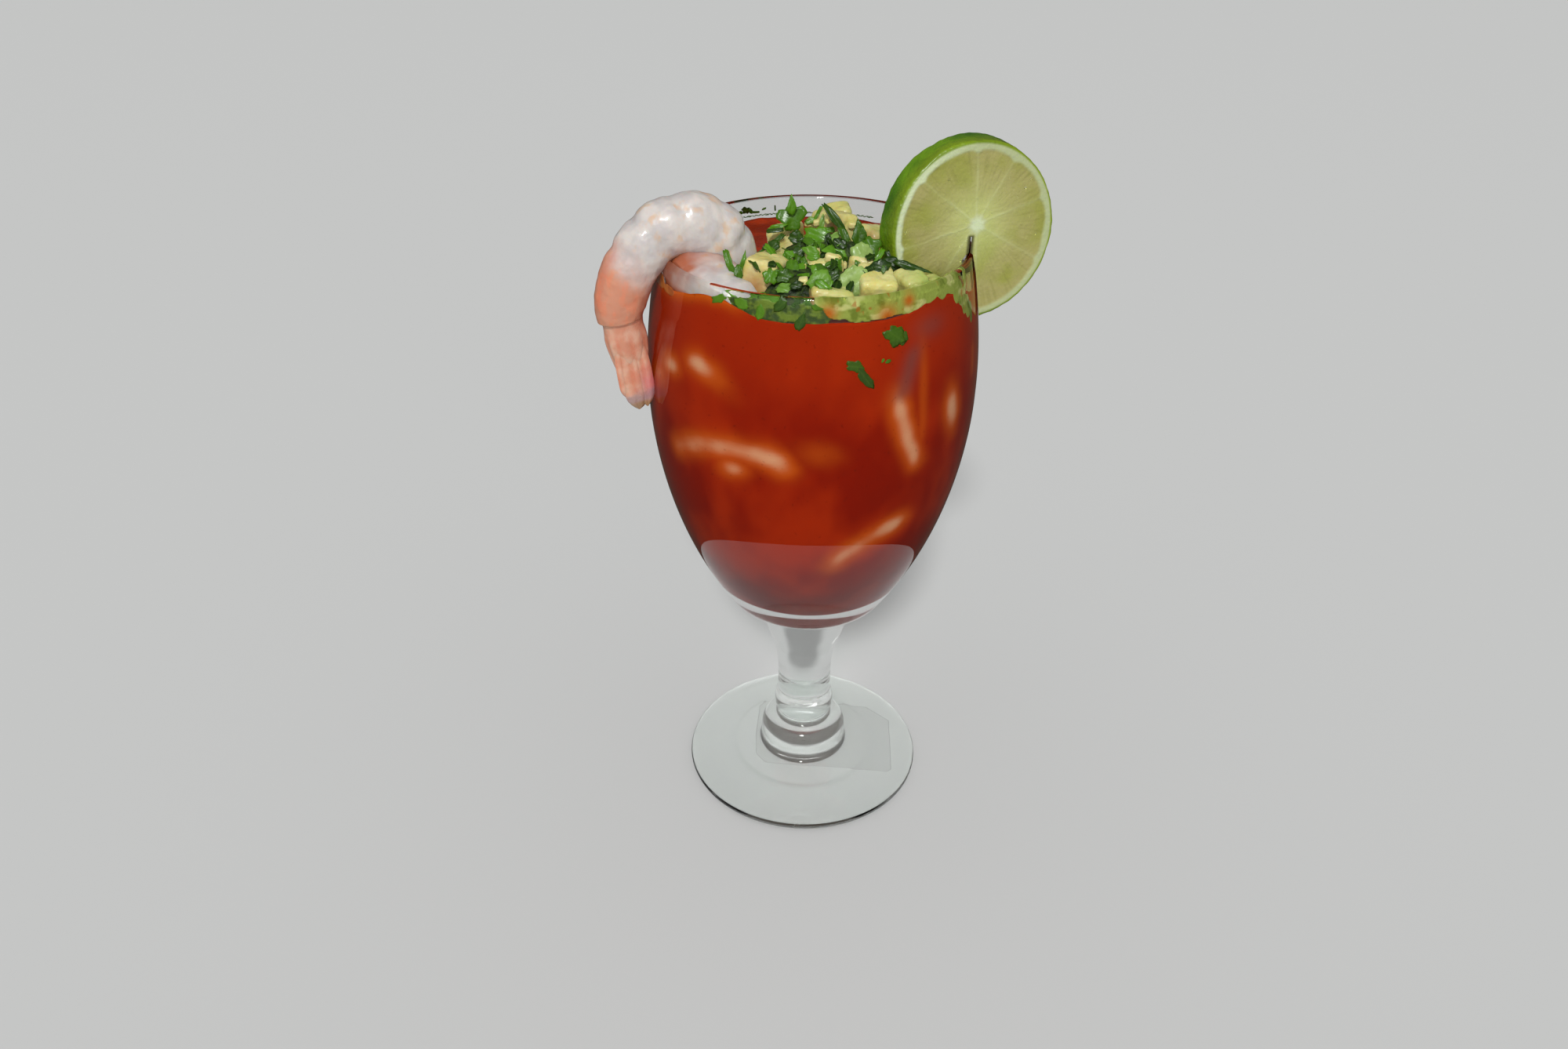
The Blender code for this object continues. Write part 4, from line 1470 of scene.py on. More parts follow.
@dataclass
class Leaf:
    """One chopped piece of coriander.

    facing is the azimuth and elevation that it looks to, spin turns it in its own plane, all in degrees.
    """

    centre: Triple
    facing: Pair
    spin: float
    length: float
    width: float
    tone: float
    cut: LeafCut = LeafCut.LOBED
    fold: float = 0.10
    curl: float = 0.10
    thickness: float = 0.13
    waviness: float = 1.0
    sides: int = 36
    rings: int = 4

    def corners(self) -> list[Pair]:
        """Corners of the piece in its own plane, from -1 to 1 both ways.

        Returns:
            The corners, in order round it.
        """
        dice = random.Random(self.spin * 7.3 + self.length * 3.1)
        if self.cut is LeafCut.STRIP:
            low = -0.7 + dice.uniform(-0.3, 0.3)
            return [(-1, low), (0.1, -1), (1, -0.8), (0.9, 0.9), (0, 0.8), (-1.0, 1)]
        if self.cut is LeafCut.POINTED:
            return [(-1, -0.35), (-0.3, -1), (0.3, -0.62), (1, 0.0), (0.25, 0.55), (-0.4, 0.95), (-0.95, 0.5)]
        count = dice.choice((5, 6, 6, 7))
        turns = sorted(2 * math.pi * (k + dice.uniform(-0.28, 0.28)) / count for k in range(count))
        return [(math.cos(turn) * dice.uniform(0.72, 1.05), math.sin(turn) * dice.uniform(0.72, 1.05))
                for turn in turns]

    def reach(self, turns: Array) -> Array:
        """How far the piece's edge lies from its middle in each direction.

        Args:
            turns: The directions, in radians.

        Returns:
            Shares of half its size.
        """
        if self.cut is LeafCut.LOBED:
            dice = random.Random(self.spin * 5.1 + self.width)
            reach = np.full(len(turns), 0.60)
            for number in range(5):
                tip = 2 * math.pi * (number + dice.uniform(-0.22, 0.22)) / 5
                off = np.abs((turns - tip + math.pi) % (2 * math.pi) - math.pi)
                lobe = dice.uniform(0.80, 1.08) * (1 - 0.40 * np.minimum(off / 0.66, 1.6) ** 1.5)
                reach = np.maximum(reach, lobe)
            return reach * (1 + 0.06 * np.sin(turns * 13 + self.spin))
        corners = self.corners()
        aim = around(turns)
        reach = np.full(len(turns), 1.2)
        for here, after in zip(corners, corners[1:] + corners[:1]):
            run = np.subtract(after, here)
            across = aim[:, 0] * run[1] - aim[:, 1] * run[0]
            far = np.where(np.abs(across) > 1e-6, (here[0] * run[1] - here[1] * run[0]) / across, 9.0)
            met = aim * far[:, None] - here
            share = met @ run / (run @ run)
            hit = (far > 0) & (share > -0.02) & (share < 1.02)
            reach = np.where(hit, np.minimum(reach, far), reach)
        return reach * (1 + 0.05 * np.sin(turns * 11 + self.spin))

    def axes(self) -> tuple[Array, Array, Array]:
        """Unit vectors along the piece's length, across it, and out of its face.

        Returns:
            The three vectors.
        """
        turn, rise = np.radians(self.facing)
        normal = np.array((math.cos(rise) * math.cos(turn), math.cos(rise) * math.sin(turn), math.sin(rise)))
        flat = np.cross((0.0, 0.0, 1.0), normal)
        flat = flat / np.linalg.norm(flat) if np.linalg.norm(flat) > 1e-6 else np.array((1.0, 0.0, 0.0))
        spin = math.radians(self.spin)
        length = math.cos(spin) * flat + math.sin(spin) * np.cross(normal, flat)
        return length, np.cross(normal, length), normal

    def place(self, x: Array, y: Array, z: Array) -> Array:
        """Carry points from the piece's own plane, in mm, to where it lies, in metres."""
        length, across, normal = self.axes()
        return (x[:, None] * length + y[:, None] * across + z[:, None] * normal + np.array(self.centre)) * MM

    def shape(self) -> tuple[Array, list, Array]:
        """Points and faces of the piece, and the share of vein at each point.

        Returns:
            The points, the faces and the shares.
        """
        turns = circle(self.sides)
        shares = np.linspace(1, 0, self.rings + 1)[:-1, None]
        reach = self.reach(turns)[None] * shares
        x = np.r_[(reach * np.cos(turns)).ravel(), 0] * self.length / 2
        y = np.r_[(reach * np.sin(turns)).ravel(), 0] * self.width / 2
        u, v = x / (self.length / 2), y / (self.width / 2)
        z = self.fold * np.abs(y) - self.curl * self.length * 0.5 * u ** 2
        z += self.waviness * 0.035 * self.length * np.sin(3.0 * u + 0.1 * self.spin) * (v + 0.4)
        z += self.waviness * 0.020 * self.width * np.sin(7 * v + 5 * u)
        sheet = self.place(x, y, z)
        below = self.place(x, y, z - self.thickness)
        count = len(sheet)
        upper = quads(self.rings, self.sides, True)
        last = (self.rings - 1) * self.sides
        upper += [(last + k, last + (k + 1) % self.sides, count - 1) for k in range(self.sides)]
        faces = both_sides(upper, count)
        rim = [(k, (k + 1) % self.sides) for k in range(self.sides)]
        faces += [(b, a, a + count, b + count) for a, b in rim]
        side_veins = 0.4 * bell((u * 3 - np.abs(v) * 1.2) % 1 - 0.5, 0.14)
        vein = np.maximum(0.7 * bell(v, 0.10), side_veins)
        return np.concatenate([sheet, below]), faces, np.r_[vein, vein]


@dataclass
class WallLeaf(Leaf):
    """A piece that lies flat against the inside of the glass.

    centre gives its azimuth in degrees, its height in mm, and how far it lies beyond the wall in mm.
    """

    def place(self, x: Array, y: Array, z: Array) -> Array:
        """Wrap points from the piece's own plane, in mm, onto the wall, in metres.

        Args:
            x: Places along the piece.
            y: Places across it.
            z: Heights out of it.

        Returns:
            Rows of x, y, z.
        """
        azimuth, height, beyond = self.centre
        spin = math.radians(self.spin)
        over = x * math.cos(spin) - y * math.sin(spin)
        rise = x * math.sin(spin) + y * math.cos(spin)
        heights = (height + rise) * MM
        turn = azimuth + np.degrees(over * MM / cavity_radius(np.array(height * MM)))
        return on_wall(turn, heights) + compass(turn) * ((beyond + z) * MM)[:, None]


@dataclass
class Coriander:
    """Chopped coriander: pieces laid one by one, and a sprinkling over the heap."""

    laid: tuple[Leaf, ...]
    sprinkled: int = 64
    seed: int = 7
    reach: float = 0.0360
    drop_from: float = 0.21
    cuts: tuple[LeafCut, ...] = (LeafCut.LOBED, LeafCut.CHIP, LeafCut.CHIP, LeafCut.STRIP, LeafCut.POINTED)

    def scatter(self, ground: BVHTree) -> list[Leaf]:
        """Drop small pieces onto the heap.

        Args:
            ground: What they fall on.

        Returns:
            The pieces.
        """
        dice = random.Random(self.seed)
        leaves = []
        while len(leaves) < self.sprinkled:
            x = dice.gauss(1.0, 10.5) * MM
            y = dice.gauss(-19.0, 10.0) * MM
            if math.hypot(x, y) > self.reach:
                continue
            spot, normal, _, _ = ground.ray_cast(Vector((x, y, self.drop_from)), Vector((0, 0, -1)))
            if spot is None or spot.z < SAUCE_LEVEL + 0.0008:
                continue
            look = normal * 0.5 + Vector((dice.gauss(0, 0.5), dice.gauss(-0.55, 0.45), 0.25))
            look.normalize()
            facing = (math.degrees(math.atan2(look.y, look.x)), math.degrees(math.asin(look.z)))
            length = dice.uniform(2.4, 5.4)
            cut = dice.choice(self.cuts)
            slim = dice.uniform(0.18, 0.35) if cut is LeafCut.STRIP else dice.uniform(0.45, 0.85)
            middle = math.exp(-((x / MM - 1) / 12) ** 2 - ((y / MM + 15) / 10) ** 2)
            lift = dice.uniform(0.0002, 0.0008 + 0.0008 * middle)
            centre = (spot.x / MM, spot.y / MM, (spot.z + lift) / MM)
            tone = min(max(dice.gauss(0.24, 0.22), 0.0), 0.85)
            spin, fold, curl = dice.uniform(0, 360), dice.uniform(0.0, 0.30), dice.uniform(-0.25, 0.30)
            leaves.append(Leaf(centre, facing, spin, length, length * slim, tone, cut, fold, curl))
        return leaves

    def build(self, name: str, finish: Finish, leaves: list[Leaf]) -> None:
        """Make leaves as one piece.

        Args:
            name: The piece's name.
            finish: The leaf's greens.
            leaves: The pieces of herb.
        """
        shapes = [leaf.shape() for leaf in leaves]
        piece = make_mesh(name, *joined([shape[:2] for shape in shapes]), weld=False)
        paint(piece, "vein", np.concatenate([vein for _, _, vein in shapes]) * 0.25)
        paint(piece, "tone", np.repeat([leaf.tone for leaf in leaves], [len(vein) for _, _, vein in shapes]))
        dress(piece, "coriander", finish)


@dataclass
class WallSmear:
    """Something soft pressed against the inside of the glass, thin at its ragged edges.

    Each dab gives an azimuth in degrees, a height in mm, and half its width and height in mm. The dabs
    melt into each other, the more so the lower union is. Each blot of sauce gives an azimuth in degrees,
    a height and a width in mm.
    """

    name: str
    dabs: tuple[Four, ...]
    depth: float
    size: float
    seed: float
    ragged: float = 0.5
    beyond: float = 0.20
    top: float = 178.4
    grain: float = 0.20
    union: float = 3.0
    shrink: float = 0.25
    wall_radius: float = 41.0
    highest: float = 178.8
    thinnest: float = 0.00003
    blots: tuple[Triple, ...] = ()

    def cover(self, wall: Array, turn: Array, height: Array) -> Array:
        """How much of the smear lies at each point of the wall; below 0 there is none.

        Args:
            wall: Points of the wall.
            turn: Their azimuths, in degrees.
            height: Their heights, in metres.

        Returns:
            One number for each point.
        """
        total = np.zeros(turn.shape)
        for azimuth, middle, across, rise in self.dabs:
            over = np.radians(turn - azimuth) * self.wall_radius / across
            up = (height / MM - middle) / rise
            total += np.exp(self.union * np.maximum(1.0 - over ** 2 - up ** 2, -3.0))
        best = np.log(total) / self.union - self.shrink
        rows = wall.reshape(-1, 3)
        lumps = rough(rows, self.size * MM, self.seed)
        lumps += 0.3 * rough(rows, self.size * 0.4 * MM, self.seed + 3)
        cover = best + self.ragged * lumps.reshape(turn.shape)
        return np.where(height > self.top * MM, -1.0, cover)

    def build(self, slot: str, finish: Finish) -> None:
        """Make the smear.

        Args:
            slot: The record's material slot.
            finish: Its material.
        """
        reach = np.array(self.dabs)
        turns = (np.min(reach[:, 0] - reach[:, 2] * 2), np.max(reach[:, 0] + reach[:, 2] * 2))
        top = min(np.max(reach[:, 1] + reach[:, 3] * 1.3), self.highest)
        rises = (np.min(reach[:, 1] - reach[:, 3] * 1.3), top)
        columns = int((turns[1] - turns[0]) * MM_PER_DEGREE / self.grain)
        rows = int((rises[1] - rises[0]) / self.grain)
        azimuth, height = np.meshgrid(np.linspace(*turns, columns), np.linspace(*rises, rows) * MM)
        wall = on_wall(azimuth, height, self.beyond * MM)
        cover = self.cover(wall, azimuth, height)
        thick = np.clip(cover, 0, 1) ** 0.6 * self.depth * MM + self.thinnest
        inwards = -compass(azimuth)
        dent = 0.06 * MM * (1 - ease(0.0, 0.25, cover))
        wall = wall + inwards * dent[..., None]
        inner = wall + inwards * thick[..., None]
        points = np.concatenate([wall.reshape(-1, 3), inner.reshape(-1, 3)])
        count = rows * columns
        keep = [face for face in quads(rows, columns, False) if cover.ravel()[face].mean() > 0.0]
        used = {(here, after) for face in keep for here, after in zip(face, face[1:] + face[:1])}
        faces = both_sides(keep, count)
        faces += [(b, a, a + count, b + count) for a, b in used if (b, a) not in used]
        piece = make_mesh(self.name, points, faces)
        spots = places_of(piece)
        stain = np.zeros(len(spots))
        for azimuth_at, height_at, width in self.blots:
            middle = on_wall(np.array(azimuth_at), np.array(height_at * MM))
            stain = np.maximum(stain, bell(np.linalg.norm(spots - middle, axis=1), width * MM))
        paint(piece, "sauced", stain)
        dress(piece, slot, finish)


MASH_DABS = (
    (-86, 176.6, 3.0, 1.6), (-82.5, 175.0, 3.4, 2.8), (-76, 174.6, 4.4, 3.1), (-70, 174.6, 4.0, 3.1),
    (-64, 174.7, 4.0, 3.1), (-58, 174.8, 3.8, 3.3), (-52, 175.2, 3.8, 3.2), (-46, 175.4, 3.4, 3.0),
    (-40, 175.6, 3.0, 3.0), (-34.5, 175.4, 2.6, 2.8), (-30.5, 172.8, 2.2, 3.6),
)
MASH_BLOTS = ((-85, 174.0, 2.0), (-64.5, 172.2, 2.6), (-56, 175.0, 1.6))
STREAK_DABS = (
    (-31.0, 175.0, 2.0, 3.4), (-28.5, 172.0, 1.9, 3.8), (-26.0, 169.4, 1.7, 3.8), (-23.0, 167.0, 1.5, 3.6),
    (-20.0, 164.6, 1.3, 3.4), (-24.0, 174.6, 1.2, 3.0),
)
BODY_STATIONS = (
    (-172, 175.6, 8.0, 5.5, 4.6), (-163, 175.4, 7.8, 7.4, 5.6), (-154, 175.0, 7.4, 8.4, 5.7),
    (-145, 174.4, 7.2, 8.8, 5.5), (-136, 173.8, 6.8, 8.6, 5.2), (-128, 173.4, 6.2, 7.8, 4.8),
    (-120, 173.0, 5.2, 6.4, 4.2), (-112, 172.2, 4.4, 4.2, 3.0),
)
MUSH_DABS = (
    (-128, 172.6, 3.4, 1.4), (-122, 173.4, 4.6, 2.4), (-115, 173.8, 4.6, 2.8), (-108, 173.8, 4.6, 2.8),
    (-101, 173.6, 4.6, 2.8), (-94, 173.4, 4.6, 3.0), (-88, 173.4, 3.4, 3.0),
)
FILM_DABS = (
    (-163, 174.0, 2.4, 4.6), (-158.5, 171.6, 3.4, 1.8), (-151, 171.2, 4.0, 1.2), (-161, 177.0, 2.0, 1.6),
)


@dataclass
class PressedBody:
    """A soft body that lies inside the bowl and is pressed flat where it meets the glass.

    Each station gives an azimuth in degrees, a height, the distance of its middle from the wall, and
    half its breadth and height, in mm.
    """

    name: str
    stations: tuple[Five, ...]
    beyond: float = 0.12
    lumps: float = 0.40
    size: float = 4.0
    seed: float = 5.0
    rings: int = 110
    sides: int = 56

    def build(self, slot: str, finish: Finish) -> None:
        """Make the body.

        Args:
            slot: The record's material slot.
            finish: Its material.
        """
        marks = np.array(self.stations)
        rows = smooth_path(marks, np.linspace(0, len(marks) - 1, self.rings))
        centres = on_wall(rows[:, 0], rows[:, 1] * MM)
        away = unit(centres * (1, 1, 0))
        centres = centres - away * (rows[:, 2] * MM)[:, None]
        along = unit(np.gradient(centres, axis=0))
        up = unit(np.cross(away, along))
        share = np.linspace(0, 1, self.rings)
        taper = np.clip(np.minimum(share, 1 - share) * 7, 0.02, 1) ** 0.5
        shape = rows[:, None, 3:] * MM * taper[:, None, None] * around(circle(self.sides))[None]
        piece = make_mesh(self.name, *swept(centres, np.cross(along, up), up, shape))
        spots = places_of(piece)
        push = self.lumps * rough(spots, self.size * MM, self.seed)
        push += 0.3 * self.lumps * rough(spots, self.size * 0.4 * MM, self.seed + 2)
        spots += normals_of(piece) * (push * MM)[:, None]
        reach = np.hypot(spots[:, 0], spots[:, 1])
        limit = cavity_radius(spots[:, 2]) + self.beyond * MM
        inside = np.where(spots[:, 2] < GLASS_HEIGHT + 0.0004, np.minimum(reach, limit) / reach, 1.0)
        spots[:, :2] *= inside[:, None]
        move_points(piece, spots)
        paint(piece, "stain", self.stain(spots))
        dress(piece, slot, finish)

    def stain(self, spots: Array) -> Array:
        """Share of sauce at each point: along the open surface's level, and by the prawn's notch.

        Args:
            spots: The points.

        Returns:
            Shares from 0 to 1.
        """
        wet = 1 - ease(0.0002, 0.0022, spots[:, 2] - SAUCE_LEVEL + 0.0010 * rough(spots, 0.004, 1.0))
        azimuth = np.degrees(np.arctan2(spots[:, 1], spots[:, 0]))
        blur = rough(spots, 0.0030, 2.0)
        notch = 1 - ease(-157.0, -134.0, azimuth + 8 * blur)
        lip = bell(spots[:, 2] - GLASS_HEIGHT, 0.0017) * (1 - ease(-146.0, -128.0, azimuth))
        lip = 0.8 * lip * (0.6 + 1.4 * blur).clip(0)
        return np.clip(0.85 * wet + 0.85 * notch + lip, 0, 0.92)


@dataclass
class HerbMound:
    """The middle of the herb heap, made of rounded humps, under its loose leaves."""

    humps: tuple[tuple[Triple, Triple], ...] = (
        ((-2.0, -25.0, 171.5), (13.0, 11.0, 8.4)), ((2.5, -10.5, 172.5), (12.0, 9.0, 9.2)),
    )

    def hump(self, centre: Triple, radii: Triple) -> tuple[Array, list]:
        """Points and faces of one rounded hump.

        Args:
            centre: Its middle, in mm.
            radii: Half its width, depth and height, in mm.

        Returns:
            The points, and the faces.
        """
        rows, columns = 40, 80
        grid = ball(rows, columns)
        lumps = 1 + 0.10 * rough(grid, 0.25, 3.0) + 0.16 * rough(grid, 0.6, 1.0)
        points = (grid * lumps[:, None] * radii + centre) * MM
        reach = np.maximum(np.hypot(points[:, 0], points[:, 1]), MM)
        points[:, :2] *= np.minimum(1.0, (cavity_radius(points[:, 2]) - 0.0002) / reach)[:, None]
        return points, quads(rows, columns, True)

    def build(self) -> Piece:
        """Make the mound.

        Returns:
            The piece.
        """
        humps = [self.hump(centre, radii) for centre, radii in self.humps]
        mound = make_mesh("coriander_mound", *joined(humps))
        dark = PlainFinish("coriander_dark", (22, 40, 8), (58, 80, 16), 0.0016, 0.6, 0.0006)
        dress(mound, "coriander", dark.material())
        return mound


@dataclass
class SmallBodies:
    """Many small rounded bodies as one piece, such as cut bits or drops.

    Each gives its centre and half its width, depth and height in mm, and its turn from the front in degrees.
    """

    name: str
    rows: tuple[tuple[Triple, Triple, float], ...]
    boxy: float = 1.0

    def build(self, slot: str, finish: Finish, place: Matrix = Matrix()) -> None:
        """Make the bodies.

        Args:
            slot: The record's material slot.
            finish: Their material.
            place: The space their centres are given in.
        """
        bodies = []
        rings, columns = 14, 24
        grid = ball(rings, columns)
        grid = np.sign(grid) * np.abs(grid) ** self.boxy
        for number, (centre, halves, turn) in enumerate(self.rows):
            lumps = 1 + 0.10 * rough(grid + number, 0.6, 2.0)
            tilt = np.array(Matrix.Rotation(math.radians(-turn), 3, "Y"))
            points = (grid * lumps[:, None] * halves @ tilt.T + centre) * MM
            bodies.append((points, quads(rings, columns, True)))
        piece = make_mesh(self.name, *joined(bodies))
        piece.data.transform(place)
        dress(piece, slot, finish)


@dataclass
class FootFilm:
    """The bare clear film stuck under the foot, with its brighter edge."""

    corners: tuple[Pair, ...] = (
        (-15.0, -6.0), (-12.0, -10.4), (28.0, -12.4), (29.5, -11.0), (29.7, 12.5), (22.0, 19.0),
        (-13.0, 19.5), (-15.0, 17.0),
    )
    colour: Colour = (238, 238, 236)
    height: float = 0.10
    thickness: float = 0.05
    edge: float = 0.26
    cover: float = 0.07
    edge_cover: float = 0.40

    def slab(self, ring: Array) -> tuple[Array, list]:
        """Points and faces of the film's flat slab, from its outline in mm.

        Args:
            ring: The outline.

        Returns:
            The points, and the faces.
        """
        count = len(ring)
        low = np.column_stack([ring, np.full(count, self.height)])
        points = np.concatenate([low, low + (0, 0, self.thickness)]) * MM
        sides = [(n, (n + 1) % count, (n + 1) % count + count, n + count) for n in range(count)]
        return points, sides + [tuple(range(count))[::-1], tuple(range(count, 2 * count))]

    def outline(self) -> Array:
        """The film's outline, a little uneven, in mm.

        Returns:
            Rows of x and y.
        """
        corners = np.array(self.corners + self.corners[:1])
        steps = [np.linspace(a, b, 12, endpoint=False) for a, b in zip(corners, corners[1:])]
        ring = np.concatenate(steps)
        ring += 0.25 * rough(np.column_stack([ring, 0 * ring[:, 0]]), 5.0, 2.0)[:, None]
        return ring

    def build(self) -> None:
        """Make the film and its edge."""
        ring = self.outline()
        self.place("foot_film", *self.slab(ring), self.cover)
        away = unit(ring - ring.mean(axis=0))
        outer, inner = ring + away * self.edge / 2, ring - away * self.edge / 2
        low = self.height + 0.10
        high = low + self.thickness
        loops = [(inner, low), (outer, low), (outer, high), (inner, high), (inner, low)]
        rim = [np.column_stack([loop, np.full(len(loop), level)]) for loop, level in loops]
        faces = quads(len(loops), len(ring), True)
        self.place("foot_film_edge", np.concatenate(rim) * MM, faces, self.edge_cover)

    def place(self, name: str, points: Array, faces: list, cover: float) -> None:
        """Make one piece of thin film that hides a given share of what is behind it.

        Args:
            name: The piece's name.
            points: Its points, in metres.
            faces: Their numbers in each face.
            cover: The share, from 0 to 1.
        """
        piece = make_mesh(name, points, faces)
        piece.data.shade_flat()
        sockets = {"Base Color": linear(self.colour), "Roughness": 0.5, "Alpha": cover}
        dress(piece, "clear_glass", Shader(name).finish(sockets))


@dataclass
class Studio:
    """Floor, light and camera.

    Each sun gives its name, strength, width in degrees, direction, and whether shiny things mirror it.
    """

    floor_colour: Colour = (200, 201, 200)
    floor_gap: float = 0.0003
    plain_reach: float = 0.105
    far_reach: float = 6.0
    eye: Triple = (0.0, -0.3005, 0.2797)
    pitch: float = 32.28
    yaw: float = 1.38
    roll: float = 0.72
    lens: float = 27.04
    suns: tuple[tuple[str, float, float, Triple, bool], ...] = (
        ("soft_key", 1.95, 7.0, (0.04, 0.72, -0.69), True),
        ("soft_fill", 0.35, 40.0, (-0.25, 0.95, -0.18), False),
    )
    room_colour: Triple = (0.85, 0.85, 0.85)
    mirrored_colour: Triple = (0.11, 0.095, 0.08)
    room_strength: float = 0.62

    def floor(self, name: str, inner: float, outer: float, mirrored: bool) -> None:
        """Lay a flat ring of floor.

        Args:
            name: Its name.
            inner: Inner radius.
            outer: Outer radius.
            mirrored: Whether shiny things reflect it.
        """
        sides = 96
        ring = compass(np.degrees(circle(sides)))
        points = np.concatenate([ring * outer, ring * inner]) - (0, 0, self.floor_gap)
        floor = make_mesh(name, points, quads(2, sides, True))
        sockets = {"Base Color": linear(self.floor_colour), "Roughness": 0.9, "Specular IOR Level": 0.1}
        floor.data.materials.append(Shader(name).finish(sockets))
        floor.visible_glossy = mirrored

    def light(self) -> None:
        """Set a soft light above the camera, a weak one beside it, and a dim even room.

        Shiny things mirror a darker room than the one that lights them. What is seen straight
        through the glass is the light room.
        """
        for name, energy, width, aim, mirrored in self.suns:
            sun = bpy.data.lights.new(name, "SUN")
            sun.energy = energy
            sun.angle = math.radians(width)
            lamp = bpy.data.objects.new(name, sun)
            lamp.rotation_euler = Vector(aim).to_track_quat("-Z", "Y").to_euler()
            lamp.visible_glossy = mirrored
            lamp.visible_transmission = mirrored
            bpy.context.scene.collection.objects.link(lamp)
        world = bpy.data.worlds.new("room")
        bpy.context.scene.world = world
        room = NodeTree(world)
        path = room.node("LightPath", {}).outputs
        turned_back = room.sums("ADD", path["Diffuse Depth"], path["Glossy Depth"])
        straight = room.sums("LESS_THAN", turned_back, 0.5)
        seen_through = room.sums("MULTIPLY", straight, path["Is Transmission Ray"])
        mirrored = room.sums("SUBTRACT", path["Is Glossy Ray"], seen_through, clamp=True)
        ends = {0: mirrored, 6: (*self.room_colour, 1.0), 7: (*self.mirrored_colour, 1.0)}
        colour = room.node("Mix", ends, data_type="RGBA").outputs[2]
        glow = room.node("Background", {"Color": colour, "Strength": self.room_strength})
        room.node("OutputWorld", {0: glow.outputs[0]})

    def camera(self) -> None:
        """Set up the camera."""
        camera = bpy.data.objects.new("camera", bpy.data.cameras.new("camera"))
        camera.data.lens = self.lens
        camera.data.sensor_width = 36.0
        camera.data.clip_start = 0.01
        turn = Matrix.Rotation(math.radians(self.yaw), 4, "Z")
        tilt = Matrix.Rotation(math.radians(90 - self.pitch), 4, "X")
        roll = Matrix.Rotation(math.radians(self.roll), 4, "Z")
        camera.matrix_world = Matrix.Translation(Vector(self.eye)) @ turn @ tilt @ roll
        bpy.context.scene.collection.objects.link(camera)
        bpy.context.scene.camera = camera

    def build(self) -> None:
        """Set everything up."""
        self.floor("floor_near", 0.0, self.plain_reach, True)
        self.floor("floor_wide", self.plain_reach, self.far_reach, False)
        self.light()
        self.camera()
        bpy.context.scene.view_settings.view_transform = "Standard"


